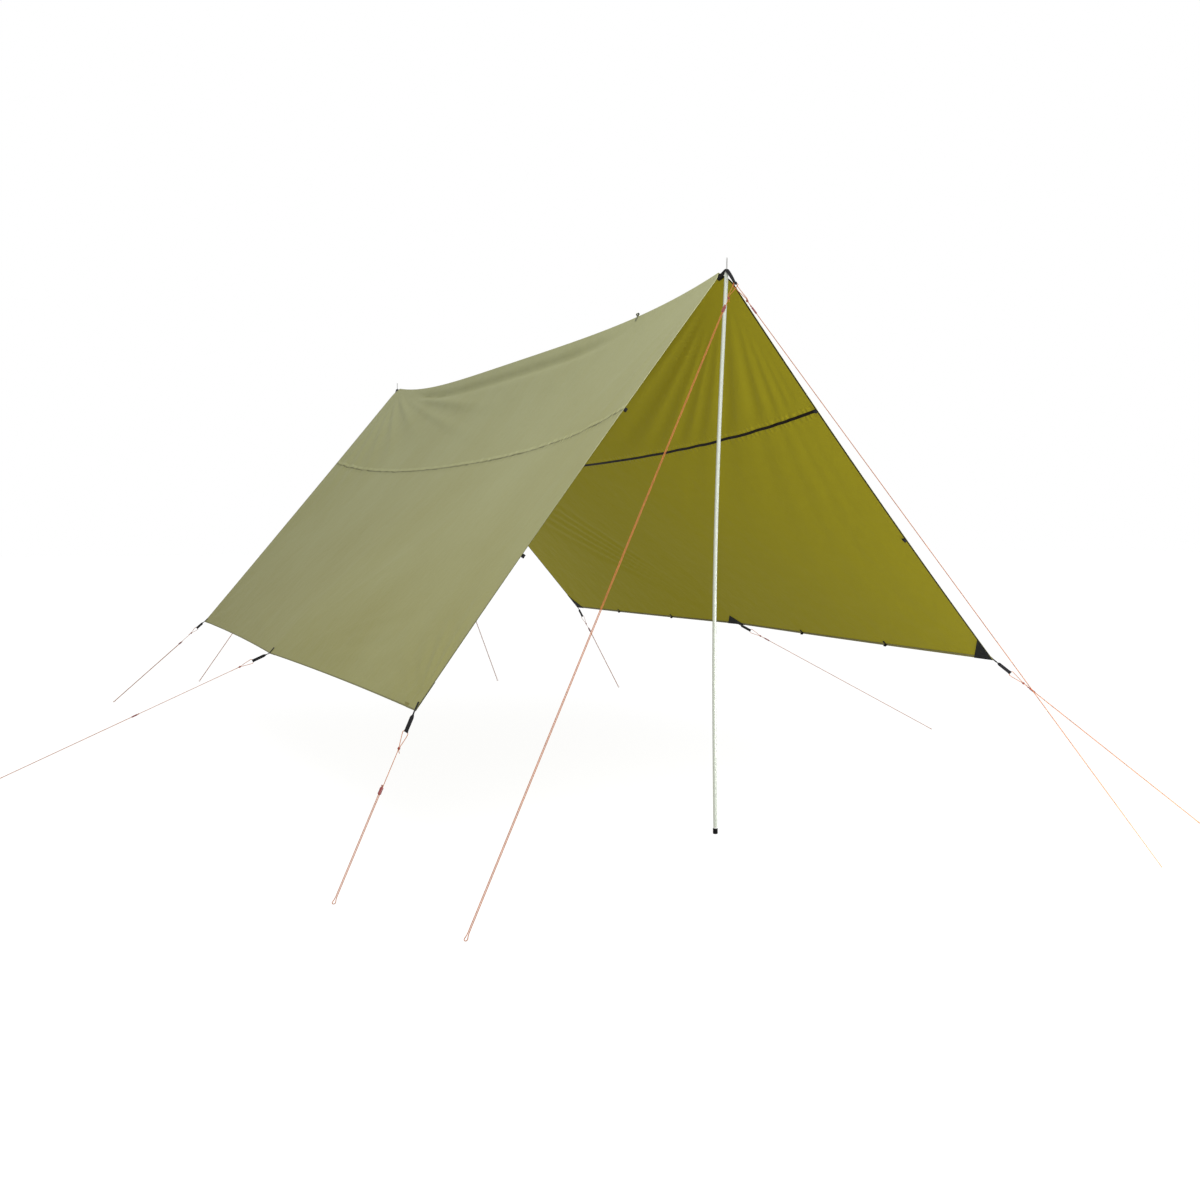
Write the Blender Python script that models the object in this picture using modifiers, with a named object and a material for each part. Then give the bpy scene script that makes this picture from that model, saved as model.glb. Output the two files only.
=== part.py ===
"""Camping tarp: a four metre wide ridge tarp, pitched on two poles and ten guy lines.

Metres, +Z up. X runs across the tarp, Y along its ridge with the front at -Y, Z is up
from the ground. The origin is on the ground under the middle of the ridge.
"""
import math

import bmesh
import bpy
from mathutils import Matrix, Vector

# Tarp cloth
SLOPE_WIDTH = 2.00
RIDGE_LENGTH = 4.50
FRONT_APEX_HEIGHT = 2.14
REAR_APEX_HEIGHT = 2.12
RIDGE_SAG = 0.085
PANEL_DROOP = 0.092
FRONT_EDGE_BOW = 0.027
REAR_EDGE_BOW = 0.021
HEM_SCALLOP = 0.018
CLOTH = 0.0010
SEAM_SHARE = 1 / 3
APEX_CUTBACK = 0.045
APEX_CUT_SPAN = 0.070

# Heights of the corners and mid points above the ground, and how far a corner
# is pulled along the ridge past the end of the ridge
CORNER_HEIGHT = {"front_left": 0.548, "front_right": 0.624,
                 "rear_left": 0.587, "rear_right": 0.619}
CORNER_SHIFT = {"front_left": 0.028, "front_right": -0.026,
                "rear_left": -0.018, "rear_right": 0.038}
MID_HEIGHT = {"left": 0.564, "right": 0.639}
MID_PULL = {"left": 0.037, "right": 0.025}

# Webbing, tapes and patches
FIT_GAP = 0.0003
TAPE = 0.0008
PATCH = 0.0010
PATCH_GAP = 0.0006
SEAM_TAPE_WIDTH = 0.013
EDGE_TAPE_WIDTH = 0.007
HEM_WIDTH = 0.016
CORNER_PATCH_LEG = 0.120
MID_PATCH_BASE = 0.190
MID_PATCH_HEIGHT = 0.072
APEX_PATCH_LENGTH = 0.055
APEX_PATCH_SLOPE = 0.028
APEX_PATCH_GAP = 0.0009
LOOP_WIDTH = 0.014
LOOP_HEIGHT = 0.013
LOOP_DEPTH = 0.008
LOOP_WEB = 0.0012

# Pull straps at the corners and mid points
STRAP = 0.0022
STRAP_NECK_WIDTH = 0.009
STRAP_END_WIDTH = 0.014
STRAP_ON_PANEL = 0.036
STRAP_REACH = 0.088
STRAP_HOLE = 0.0052
STRAP_BEND = 0.004
STRAP_BEND_LIFT = 0.3
STRAP_LIFT = 0.0020
STRAP_NECK_END = 0.014
STRAP_TURN_STEPS = 6
STRAP_CUT_MERGE = 0.0001
STRAP_TWIST = math.pi / 2
STRAP_FULL_WIDTH_AT = 0.032

# Apex straps that hook over the pole spikes
APEX_STRAP = 0.0016
APEX_STRAP_WIDTH = 0.018
APEX_TIE_WIDTH = 0.012
APEX_TAPER_FROM = 0.018
APEX_FOLD = 0.9
APEX_FOLD_END = 0.045
APEX_NEST = 0.4
APEX_STRAP_OVERLAP = 0.040
APEX_LEG_OUT = 0.064
APEX_LEG_DOWN = 0.066
APEX_HOLE = 0.0100
SPIKE_HOLE_RADIUS = 0.0036
APEX_BEND = 0.004
APEX_LEG_STATIONS = (0.15, 0.30, 0.45, 0.60, 0.75, 0.92)
APEX_STRAP_CLEARANCE = 0.0004
RIDGE_LOOP_AT = 1 / 6
RIDGE_LOOP_HOLE = 0.009
RIDGE_LOOP_FOOT = 0.022

# Poles
POLE_AHEAD = 0.020
FOOT_INSET = 0.050
POLE_RADIUS = 0.0075
POLE_WALL = 0.0010
POLE_SECTIONS = 3
POLE_BOW = 0.024
SPIGOT_LENGTH = 0.060
SPIGOT_GAP = 0.0003
SPIKE_RADIUS = 0.0024
SPIKE_LENGTH = 0.040
NOSE_LENGTH = 0.012
NOSE_DROP = 0.0050
NOSE_COLLAR = 0.0012
PLUG_LENGTH = 0.030
FOOT_WALL = 0.0016
FOOT_BASE = 0.0060
FOOT_GRIP = 0.0160
FOOT_ROUND = 0.0035
POLE_SIDES = 12
POLE_RINGS = 7

# Guy lines and runners
CORD_RADIUS = 0.00125
STRAND_GAP = 0.0046
KNOT_RADIUS = 0.0045
KNOT_AT = 0.155
KNOT_TAIL = 0.018
EYE_SHOULDER = 0.010
EYE_OFFSET = 0.0028
STOPPER_RADIUS = 0.0030
RUNNER_LENGTH = 0.030
RUNNER_THICKNESS = 0.0066
RUNNER_LOBE = 0.0064
RUNNER_WAIST = 0.0052
RUNNER_BORE_GAP = 0.0004
GROUND_GAP = 0.0002
GROUND_LOOP_RADIUS = 0.0060
GROUND_LOOP_NECK = 0.018

# Ground end of each guy line (x, y), and the runner's distance down the line
CORNER_LINES = {"front_left": (-1.572, -2.609, 0.322),
                "front_right": (1.855, -2.814, 0.200),
                "rear_left": (-1.779, 3.080, 0.294),
                "rear_right": (1.741, 2.496, 0.215)}
MID_LINES = {"left": (-2.508, 0.203, 0.695), "right": (2.515, -0.233, 0.200)}
APEX_LINES = {"front_left": (-1.319, -3.147, 0.135),
              "front_right": (1.157, -3.294, 0.125),
              "rear_left": (-1.065, 4.183, 0.200),
              "rear_right": (1.069, 3.294, 0.165)}
APEX_KNOT_AT = 0.080

HALF_RIDGE = RIDGE_LENGTH / 2
SIDES = {"left": -1, "right": 1}
ENDS = {"front": -1, "rear": 1}


def clear_scene():
    """Remove every object, mesh, curve and material of the start scene."""
    for item in list(bpy.data.objects):
        bpy.data.objects.remove(item, do_unlink=True)
    for group in (bpy.data.meshes, bpy.data.curves, bpy.data.materials):
        for block in list(group):
            group.remove(block)


clear_scene()
PARTS = bpy.data.collections.new("camping_tarp")
CUTTERS = bpy.data.collections.new("cutters")
for collection in (PARTS, CUTTERS):
    bpy.context.scene.collection.children.link(collection)


def material(name, colour, roughness, metallic=0.0):
    """Make a plain Principled material."""
    made = bpy.data.materials.new(name)
    made.use_nodes = True
    shader = made.node_tree.nodes["Principled BSDF"]
    shader.inputs["Base Color"].default_value = (*colour, 1.0)
    shader.inputs["Roughness"].default_value = roughness
    shader.inputs["Metallic"].default_value = metallic
    return made


OLIVE_CLOTH = material("olive cloth", (0.30, 0.29, 0.12), 0.75)
BLACK_TAPE = material("black tape", (0.02, 0.018, 0.015), 0.80)
OLIVE_HEM = material("olive hem", (0.26, 0.25, 0.10), 0.80)
BLACK_WEBBING = material("black webbing", (0.012, 0.012, 0.012), 0.70)
PALE_ALLOY = material("pale alloy", (0.72, 0.73, 0.66), 0.35, 0.85)
GREY_STEEL = material("grey steel", (0.40, 0.40, 0.39), 0.35, 1.0)
BLACK_RUBBER = material("black rubber", (0.015, 0.015, 0.016), 0.60)
ORANGE_CORD = material("orange cord", (0.62, 0.24, 0.07), 0.80)
RED_PLASTIC = material("dark red plastic", (0.22, 0.02, 0.02), 0.40)


def finish(item, name, look, smooth=False):
    """Name a finished mesh object, give it its material and file it as a part."""
    item.name = name
    item.data.name = name
    item.data.materials.clear()
    item.data.materials.append(look)
    if smooth:
        item.data.shade_smooth()
        item.data.set_sharp_from_angle(angle=math.radians(40))
    file_under(item, PARTS)
    return item


def file_under(item, collection):
    """Move an object into one collection only."""
    for old in list(item.users_collection):
        old.objects.unlink(item)
    collection.objects.link(item)


def as_cutter(item):
    """File a helper shape with the cutters, drawn as a wire."""
    file_under(item, CUTTERS)
    item.hide_render = True
    item.display_type = "WIRE"
    return item


def boolean(target, tool, operation):
    """Join a helper shape to a part, or cut it out of the part."""
    as_cutter(tool)
    step = target.modifiers.new(tool.name, "BOOLEAN")
    step.operation = operation
    step.solver = "EXACT"
    step.object = tool
    return target


def mesh_object(name, mesh, collection=PARTS):
    """Wrap a mesh in an object."""
    item = bpy.data.objects.new(name, mesh)
    collection.objects.link(item)
    return item


def baked(item):
    """Replace an object by a mesh copy with its curve or modifiers applied."""
    bpy.context.view_layer.update()
    graph = bpy.context.evaluated_depsgraph_get()
    mesh = bpy.data.meshes.new_from_object(item.evaluated_get(graph))
    shape = bmesh.new()
    shape.from_mesh(mesh)
    bmesh.ops.remove_doubles(shape, verts=shape.verts, dist=0.00001)
    shape.to_mesh(mesh)
    shape.free()
    made = bpy.data.objects.new(item.name + "_mesh", mesh)
    made.matrix_world = item.matrix_world
    PARTS.objects.link(made)
    bpy.data.objects.remove(item, do_unlink=True)
    return made


# The surface of the pitched cloth

def corner(end, side):
    """A corner of the cloth, found from its height and the slope's own width."""
    name = f"{end}_{side}"
    apex = FRONT_APEX_HEIGHT if end == "front" else REAR_APEX_HEIGHT
    drop = apex - CORNER_HEIGHT[name]
    shift = CORNER_SHIFT[name]
    across = math.sqrt(SLOPE_WIDTH ** 2 - drop ** 2 - shift ** 2)
    return Vector((SIDES[side] * across, ENDS[end] * (HALF_RIDGE + shift), CORNER_HEIGHT[name]))


CORNERS = {(end, side): corner(end, side) for end in ENDS for side in SIDES}


def mid_point(side):
    """The middle of a side hem, pulled out a little by its guy line."""
    front = CORNERS["front", side]
    rear = CORNERS["rear", side]
    across = (front.x + rear.x) / 2 + SIDES[side] * MID_PULL[side]
    return Vector((across, 0.0, MID_HEIGHT[side]))


MIDS = {side: mid_point(side) for side in SIDES}


def ridge_point(v):
    """A point of the ridge, v from 0 at the front to 1 at the rear."""
    chord = FRONT_APEX_HEIGHT + (REAR_APEX_HEIGHT - FRONT_APEX_HEIGHT) * v
    sag = RIDGE_SAG * (1 - (2 * v - 1) ** 4)
    return Vector((0.0, HALF_RIDGE * (2 * v - 1), chord - sag))


def hem_point(side, v):
    """A point of a side hem, which scallops inward between its three pulls."""
    front = CORNERS["front", side]
    middle = MIDS[side]
    rear = CORNERS["rear", side]
    if v < 0.5:
        start, end, t = front, middle, 2 * v
    else:
        start, end, t = middle, rear, 2 * v - 1
    point = start.lerp(end, t)
    point.x -= SIDES[side] * HEM_SCALLOP * 4 * t * (1 - t)
    return point


def cut_back(u, v):
    """Slide v inward near the apexes, where the cloth is trimmed round the pole."""
    reach = max(0.0, 1 - abs(u) * SLOPE_WIDTH / APEX_CUT_SPAN) ** 2
    share = APEX_CUTBACK / RIDGE_LENGTH * reach
    return v + share * (1 - v) ** 20 - share * v ** 20


def cloth_point(u, v, side):
    """The underside of the cloth, u from -1 left over 0 at the ridge to 1 right."""
    v = cut_back(u, v)
    ridge = ridge_point(v)
    slope = hem_point(side, v) - ridge
    inward = Vector((0, 1, 0)).cross(slope).normalized()
    if inward.z > 0:
        inward.negate()
    reach = abs(u)
    droop = PANEL_DROOP * 27 / 4 * reach * (1 - reach) ** 2 * (1 - (2 * v - 1) ** 2)
    point = ridge + slope * reach + inward * droop
    bow = 4 * reach * (1 - reach)
    point.y += FRONT_EDGE_BOW * bow * (1 - v) ** 3 - REAR_EDGE_BOW * bow * v ** 3
    return point


def cloth_normal(u, v, side):
    """The outward normal of one slope, from two short steps along the cloth."""
    step = 0.0005
    sign = SIDES[side]
    across = cloth_point(u + sign * step, v, side) - cloth_point(u, v, side)
    along = cloth_point(u, v + step, side) - cloth_point(u, v - step, side)
    return along.cross(across).normalized() * -sign


def surface(u, v, offset=0.0):
    """A point of the cloth, moved outward by the offset, or inward where that is negative."""
    side = "left" if u < 0 else "right"
    point = cloth_point(u, v, side)
    if u == 0:
        rise = (cloth_normal(u, v, "left").z + cloth_normal(u, v, "right").z) / 2
        return point + Vector((0.0, 0.0, offset / rise))
    return point + cloth_normal(u, v, side) * offset


def strip(name, us, vs, offset, thickness, look):
    """A sheet of cloth or tape: a grid on the surface, thickened away from it."""
    shape = bmesh.new()
    rows = [[shape.verts.new(surface(u, v, offset)) for u in us] for v in vs]
    for low, high in zip(rows, rows[1:]):
        for column in range(len(us) - 1):
            a, b = low[column], low[column + 1]
            c, d = high[column + 1], high[column]
            shape.faces.new((a, b, c))
            shape.faces.new((a, c, d))
    mesh = bpy.data.meshes.new(name)
    shape.to_mesh(mesh)
    shape.free()
    item = mesh_object(name, mesh)
    shell = item.modifiers.new("thickness", "SOLIDIFY")
    shell.thickness = abs(thickness)
    shell.offset = math.copysign(1.0, thickness)
    shell.use_even_offset = True
    return finish(item, name, look)


# Lines of the shared grid: every tape and patch ends on one of them

def share_of_slope(length):
    return length / SLOPE_WIDTH


def share_of_ridge(length):
    return length / RIDGE_LENGTH


HALF_GAP_U = share_of_slope(FIT_GAP / 2)
SEAM_EDGE_U = share_of_slope(SEAM_TAPE_WIDTH / 2)
HEM_U = 1 - share_of_slope(HEM_WIDTH)
CORNER_U = 1 - share_of_slope(CORNER_PATCH_LEG)
MID_U = 1 - share_of_slope(MID_PATCH_HEIGHT)
APEX_U = share_of_slope(APEX_PATCH_SLOPE)
EDGE_V = share_of_ridge(EDGE_TAPE_WIDTH)
CORNER_V = share_of_ridge(CORNER_PATCH_LEG)
MID_V = share_of_ridge(MID_PATCH_BASE / 2)
APEX_V = share_of_ridge(APEX_PATCH_LENGTH)
GAP_V = share_of_ridge(FIT_GAP)


def spread(start, end, count):
    """Evenly spaced values from start to end, both included."""
    return [start + (end - start) * step / count for step in range(count + 1)]


def length_lines():
    """The grid's lines across the ridge, from the front edge to the rear edge."""
    front = [0.0, EDGE_V, APEX_V, CORNER_V]
    front += spread(CORNER_V, 1 / 6, 3)[1:]
    front += spread(1 / 6, 2 / 6, 2)[1:]
    front += spread(2 / 6, 0.5 - MID_V, 2)[1:]
    rear = [1 - v for v in reversed(front)]
    return front + [0.5] + rear


V_LINES = length_lines()
RIDGE_HALF_U = [0.0, share_of_slope(RIDGE_LOOP_FOOT), APEX_U, 0.12, 0.22,
                SEAM_SHARE - SEAM_EDGE_U, SEAM_SHARE - HALF_GAP_U]
SIDE_U = ([SEAM_SHARE + HALF_GAP_U, SEAM_SHARE + SEAM_EDGE_U]
          + [0.44, 0.55, 2 / 3, 0.80, CORNER_U, MID_U, HEM_U, 1.0])


def signed(values, side):
    """The grid's lines on one side of the ridge, in rising order."""
    return sorted(SIDES[side] * value for value in values)


def inner_lines(lines):
    """The lines between the two edge tapes, with a fit gap to each."""
    middle = [v for v in lines if EDGE_V < v < 1 - EDGE_V]
    return [EDGE_V + GAP_V] + middle + [1 - EDGE_V - GAP_V]


def make_canopy():
    """Three sewn panels: the middle one lies over the ridge."""
    ridge = signed(RIDGE_HALF_U, "left") + signed(RIDGE_HALF_U, "right")[1:]
    strip("canopy_ridge_panel", ridge, V_LINES, 0.0, CLOTH, OLIVE_CLOTH)
    for side in SIDES:
        strip(f"canopy_{side}_panel", signed(SIDE_U, side), V_LINES, 0.0, CLOTH, OLIVE_CLOTH)


make_canopy()


# Lashing loops: a band of webbing folded into a ring

def ring_profile(width, height, web):
    """The outer and inner outlines of a folded band, an oval with a hollow."""
    outer = []
    inner = []
    for step in range(8):
        turn = 2 * math.pi * (step + 0.5) / 8
        across, up = math.cos(turn), math.sin(turn)
        outer.append((across * width / 2, up * height / 2))
        inner.append((across * (width / 2 - web), up * (height / 2 - web)))
    return outer, inner


def extruded(name, outlines, depth, place):
    """A flat outline, its second loop a hole, extruded both ways and placed."""
    curve = bpy.data.curves.new(name, "CURVE")
    curve.dimensions = "2D"
    curve.fill_mode = "BOTH"
    curve.extrude = depth / 2
    for outline in outlines:
        line = curve.splines.new("POLY")
        line.points.add(len(outline) - 1)
        for point, (x, y) in zip(line.points, outline):
            point.co = (x, y, 0.0, 1.0)
        line.use_cyclic_u = True
    item = bpy.data.objects.new(name, curve)
    PARTS.objects.link(item)
    item.matrix_world = place
    return baked(item)


def eased(value):
    """A smooth step from 0 to 1."""
    value = min(1.0, max(0.0, value))
    return value * value * (3 - 2 * value)


def frame_at(origin, x_axis, y_axis):
    """A placing matrix whose X and Y axes are given, Z follows."""
    x_axis = x_axis.normalized()
    z_axis = x_axis.cross(y_axis).normalized()
    y_axis = z_axis.cross(x_axis)
    turned = Matrix((x_axis, y_axis, z_axis)).transposed().to_4x4()
    turned.translation = origin
    return turned


def lashing_loop(name, anchor, along, inward):
    """A folded loop that hangs on the inner side of a tape, its ring across the edge."""
    centre = anchor + inward * (LOOP_HEIGHT / 2 - TAPE / 4)
    across = inward.cross(along)
    outlines = ring_profile(LOOP_DEPTH, LOOP_HEIGHT, LOOP_WEB)
    return extruded(name, outlines, LOOP_WIDTH, frame_at(centre, across, inward))


TAPE_MIDDLE = -(FIT_GAP + TAPE / 2)


def edge_frame(u, v):
    """A point in the middle of a tape, the edge's direction there and the inward normal."""
    step = 0.001
    here = surface(u, v, TAPE_MIDDLE)
    inward = (surface(u, v, -1.0) - surface(u, v, 0.0)).normalized()
    along_u = (surface(u + step, v) - surface(u - step, v)).normalized()
    along_v = (surface(u, v + step) - surface(u, v - step)).normalized()
    return here, along_u, along_v, inward


def make_seam_tapes():
    """Black tape that seals each sewn seam on the inner face."""
    us = [SEAM_SHARE - SEAM_EDGE_U, SEAM_SHARE - HALF_GAP_U,
          SEAM_SHARE + HALF_GAP_U, SEAM_SHARE + SEAM_EDGE_U]
    for side in SIDES:
        strip(f"seam_tape_{side}", signed(us, side), inner_lines(V_LINES),
              -FIT_GAP, -TAPE, BLACK_TAPE)


def make_edge_tapes():
    """Black binding under the front and rear edges, with lashing loops at the thirds."""
    half = sorted(set(RIDGE_HALF_U + SIDE_U[:-2] + [HEM_U - HALF_GAP_U * 2]))
    us = signed(half, "left") + signed(half, "right")[1:]
    for end in ENDS:
        vs = [0.0, EDGE_V] if end == "front" else [1 - EDGE_V, 1.0]
        tape = strip(f"{end}_edge_tape", us, vs, -FIT_GAP, -TAPE, BLACK_TAPE)
        for share in (-2 / 3, -1 / 3, 1 / 3, 2 / 3):
            point, along_u, along_v, inward = edge_frame(share, (vs[0] + vs[1]) / 2)
            loop = lashing_loop(f"{end}_loop_{share:.2f}", point, along_u, inward)
            boolean(tape, loop, "UNION")


def make_hems():
    """Folded side hems, with lashing loops at the sixths."""
    for side in SIDES:
        hem = strip(f"{side}_hem", signed([HEM_U, 1.0], side), V_LINES,
                    -FIT_GAP, -TAPE, OLIVE_HEM)
        for share in (1 / 6, 2 / 6, 4 / 6, 5 / 6):
            u = SIDES[side] * (HEM_U + 1) / 2
            point, along_u, along_v, inward = edge_frame(u, share)
            loop = lashing_loop(f"{side}_hem_loop_{share:.2f}", point, along_v, inward)
            boolean(hem, loop, "UNION")


make_seam_tapes()
make_edge_tapes()
make_hems()


# Reinforcing patches, a layer below the tapes

PATCH_OFFSET = -(FIT_GAP + TAPE + PATCH_GAP)


def patch(name, corners):
    """A three-cornered patch: each corner is a (u, v) place on the cloth."""
    shape = bmesh.new()
    verts = [shape.verts.new(surface(u, v, PATCH_OFFSET)) for u, v in corners]
    face = shape.faces.new(verts)
    face.normal_update()
    middle_u, middle_v = corners[0]
    outward = surface(middle_u, middle_v, 0.0) - surface(middle_u, middle_v, -1.0)
    if face.normal.dot(outward) < 0:
        face.normal_flip()
    mesh = bpy.data.meshes.new(name)
    shape.to_mesh(mesh)
    shape.free()
    item = mesh_object(name, mesh)
    shell = item.modifiers.new("thickness", "SOLIDIFY")
    shell.thickness = PATCH
    shell.offset = -1.0
    return finish(item, name, BLACK_WEBBING)


def make_patches():
    """Corner and mid triangles, and the folded patches under the two apexes."""
    for end in ENDS:
        edge = 0.0 if end == "front" else 1.0
        inner = CORNER_V if end == "front" else 1 - CORNER_V
        for side, sign in SIDES.items():
            patch(f"corner_patch_{end}_{side}",
                  [(sign, edge), (sign * CORNER_U, edge), (sign, inner)])
    for side, sign in SIDES.items():
        patch(f"mid_patch_{side}",
              [(sign, 0.5 - MID_V), (sign, 0.5 + MID_V), (sign * MID_U, 0.5)])
    half = [0.0, RIDGE_HALF_U[1], APEX_U]
    us = signed(half, "left") + signed(half, "right")[1:]
    for end in ENDS:
        near = EDGE_V + share_of_ridge(APEX_PATCH_GAP)
        vs = [near, APEX_V] if end == "front" else [1 - APEX_V, 1 - near]
        strip(f"apex_patch_{end}", us, vs, -FIT_GAP, -TAPE, BLACK_WEBBING)


make_patches()


# Pull straps: webbing sewn to the outer face, folded into a loop at its end

def thick_path(points, thickness):
    """The closed outline of a band that follows a bent centre line in a plane."""
    left = []
    right = []
    for index, (x, y) in enumerate(points):
        before = points[max(index - 1, 0)]
        after = points[min(index + 1, len(points) - 1)]
        first = Vector((x - before[0], y - before[1]))
        second = Vector((after[0] - x, after[1] - y))
        if index == 0:
            first = second
        if index == len(points) - 1:
            second = first
        first.normalize()
        second.normalize()
        mitre = (first + second).normalized()
        normal = Vector((-mitre.y, mitre.x))
        reach = thickness / 2 / max(0.4, normal.dot(Vector((-first.y, first.x))))
        left.append((x + normal.x * reach, y + normal.y * reach))
        right.append((x - normal.x * reach, y - normal.y * reach))
    return left, right


def looped_outline(points, thickness, hole, web):
    """A band's outline that ends in a round loop, and the loop's hole."""
    left, right = thick_path(points, thickness)
    end = Vector(points[-1])
    heading = (end - Vector(points[-2])).normalized()
    side = Vector((-heading.y, heading.x))
    centre = end + heading * hole / 2
    radius = hole / 2 + web
    start_turn = math.pi - math.asin(thickness / 2 / radius)
    rim = []
    for step in range(11):
        turn = start_turn * (1 - 2 * step / 10)
        spot = centre + heading * math.cos(turn) * radius + side * math.sin(turn) * radius
        rim.append((spot.x, spot.y))
    bore = []
    for step in range(10):
        turn = 2 * math.pi * step / 10
        bore.append((centre.x + math.cos(turn) * hole / 2, centre.y + math.sin(turn) * hole / 2))
    return left[:-1] + rim + list(reversed(right[:-1])), bore, centre


def pull_line(side, u, v, ground):
    """Where a pull strap leaves the cloth, and the frame of its strap and line."""
    edge = surface(u, v, CLOTH + FIT_GAP + STRAP / 2)
    outward = (surface(u, v, 1.0) - surface(u, v, 0.0)).normalized()
    aim = (Vector((ground[0], ground[1], 0.0)) - edge).normalized()
    flat = (aim - outward * aim.dot(outward)).normalized()
    return edge, aim, flat, outward


def cut_across(item, line, distances):
    """Cut a strap's faces at some distances along its line, so that it can be twisted."""
    shape = bmesh.new()
    shape.from_mesh(item.data)
    for distance in distances:
        everything = shape.verts[:] + shape.edges[:] + shape.faces[:]
        bmesh.ops.bisect_plane(shape, geom=everything, dist=STRAP_CUT_MERGE,
                               plane_co=line * distance, plane_no=line)
    bmesh.ops.remove_doubles(shape, verts=shape.verts, dist=STRAP_CUT_MERGE)
    shape.to_mesh(item.data)
    shape.free()


def pull_strap(name, side, edge, aim, flat, outward):
    """One strap: a neck lies on the cloth, and the wider end turns a quarter and loops."""
    rise = aim.dot(outward)
    run = aim.dot(flat)
    turn_length = STRAP_FULL_WIDTH_AT - STRAP_NECK_END
    turning = [STRAP_NECK_END + turn_length * step / STRAP_TURN_STEPS
               for step in range(STRAP_TURN_STEPS + 1)]
    path = [(-STRAP_ON_PANEL, STRAP_LIFT), (-STRAP_BEND, 0.0),
            (STRAP_BEND, STRAP_BEND * STRAP_BEND_LIFT * rise / run)]
    path += [(reach * run, reach * rise) for reach in turning + [STRAP_REACH - STRAP_HOLE]]
    outline, bore, centre = looped_outline(path, STRAP, STRAP_HOLE, STRAP / 2)
    strap = extruded(name, [outline, bore], STRAP_END_WIDTH, frame_at(edge, flat, outward))
    line = Vector((run, rise, 0.0))
    cut_across(strap, line, turning)
    for vertex in strap.data.vertices:
        along = vertex.co.dot(line)
        share = eased((along - STRAP_NECK_END) / turn_length)
        vertex.co.z *= (STRAP_NECK_WIDTH / STRAP_END_WIDTH) ** (1 - share)
        twist = Matrix.Rotation(SIDES[side] * STRAP_TWIST * share, 3, line)
        vertex.co = line * along + twist @ (vertex.co - line * along)
    hole = edge + flat * centre.x + outward * centre.y
    return finish(strap, name, BLACK_WEBBING), hole


# Guy lines: one cord each, tied through a loop, led round a peg's place and back

def smooth_route(points, steps):
    """A smooth curve through chosen points, with a few steps between each two."""
    made = []
    last = len(points) - 1
    for index in range(last):
        before = points[max(index - 1, 0)]
        start = points[index]
        end = points[index + 1]
        after = points[min(index + 2, last)]
        for step in range(steps):
            t = step / steps
            made.append(0.5 * (2 * start + (end - before) * t
                               + (2 * before - 5 * start + 4 * end - after) * t * t
                               + (3 * start - before - 3 * end + after) * t * t * t))
    made.append(points[last])
    return made


def tube(name, points, radius):
    """A round cord along points, with closed ends."""
    curve = bpy.data.curves.new(name, "CURVE")
    curve.dimensions = "3D"
    curve.bevel_depth = radius
    curve.bevel_resolution = 2
    curve.use_fill_caps = True
    line = curve.splines.new("POLY")
    line.points.add(len(points) - 1)
    for point, spot in zip(line.points, points):
        point.co = (*spot, 1.0)
    item = bpy.data.objects.new(name, curve)
    PARTS.objects.link(item)
    return baked(item)


def ball(name, centre, radius, stretch=1.0, along=Vector((0, 0, 1))):
    """A small round knot, longer along its line than across it."""
    shape = bmesh.new()
    bmesh.ops.create_uvsphere(shape, u_segments=8, v_segments=5, radius=radius)
    turn = Vector((0, 0, 1)).rotation_difference(along).to_matrix()
    for vertex in shape.verts:
        vertex.co.z *= stretch
        vertex.co = turn @ vertex.co + centre
    mesh = bpy.data.meshes.new(name)
    shape.to_mesh(mesh)
    shape.free()
    return mesh_object(name, mesh)


def eye_route(knot, hole, sideways, aim, half_width):
    """From the knot up one side, through the strap's loop and down the other side."""
    reach = half_width + CORD_RADIUS * 2.2
    start = CORD_RADIUS * 1.25
    back = STRAP_HOLE / 2 - CORD_RADIUS - FIT_GAP
    ahead = (aim - sideways * aim.dot(sideways)).normalized()
    through = hole + ahead * back
    side = []
    for sign in (-1, 1):
        out = sideways * sign
        side.append([knot + out * start,
                     knot.lerp(hole, 0.45) + out * (start + (reach - start) * 0.5),
                     hole + ahead * EYE_SHOULDER + out * reach,
                     through + out * (reach - CORD_RADIUS)])
    return side[0] + [through] + list(reversed(side[1]))


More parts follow.
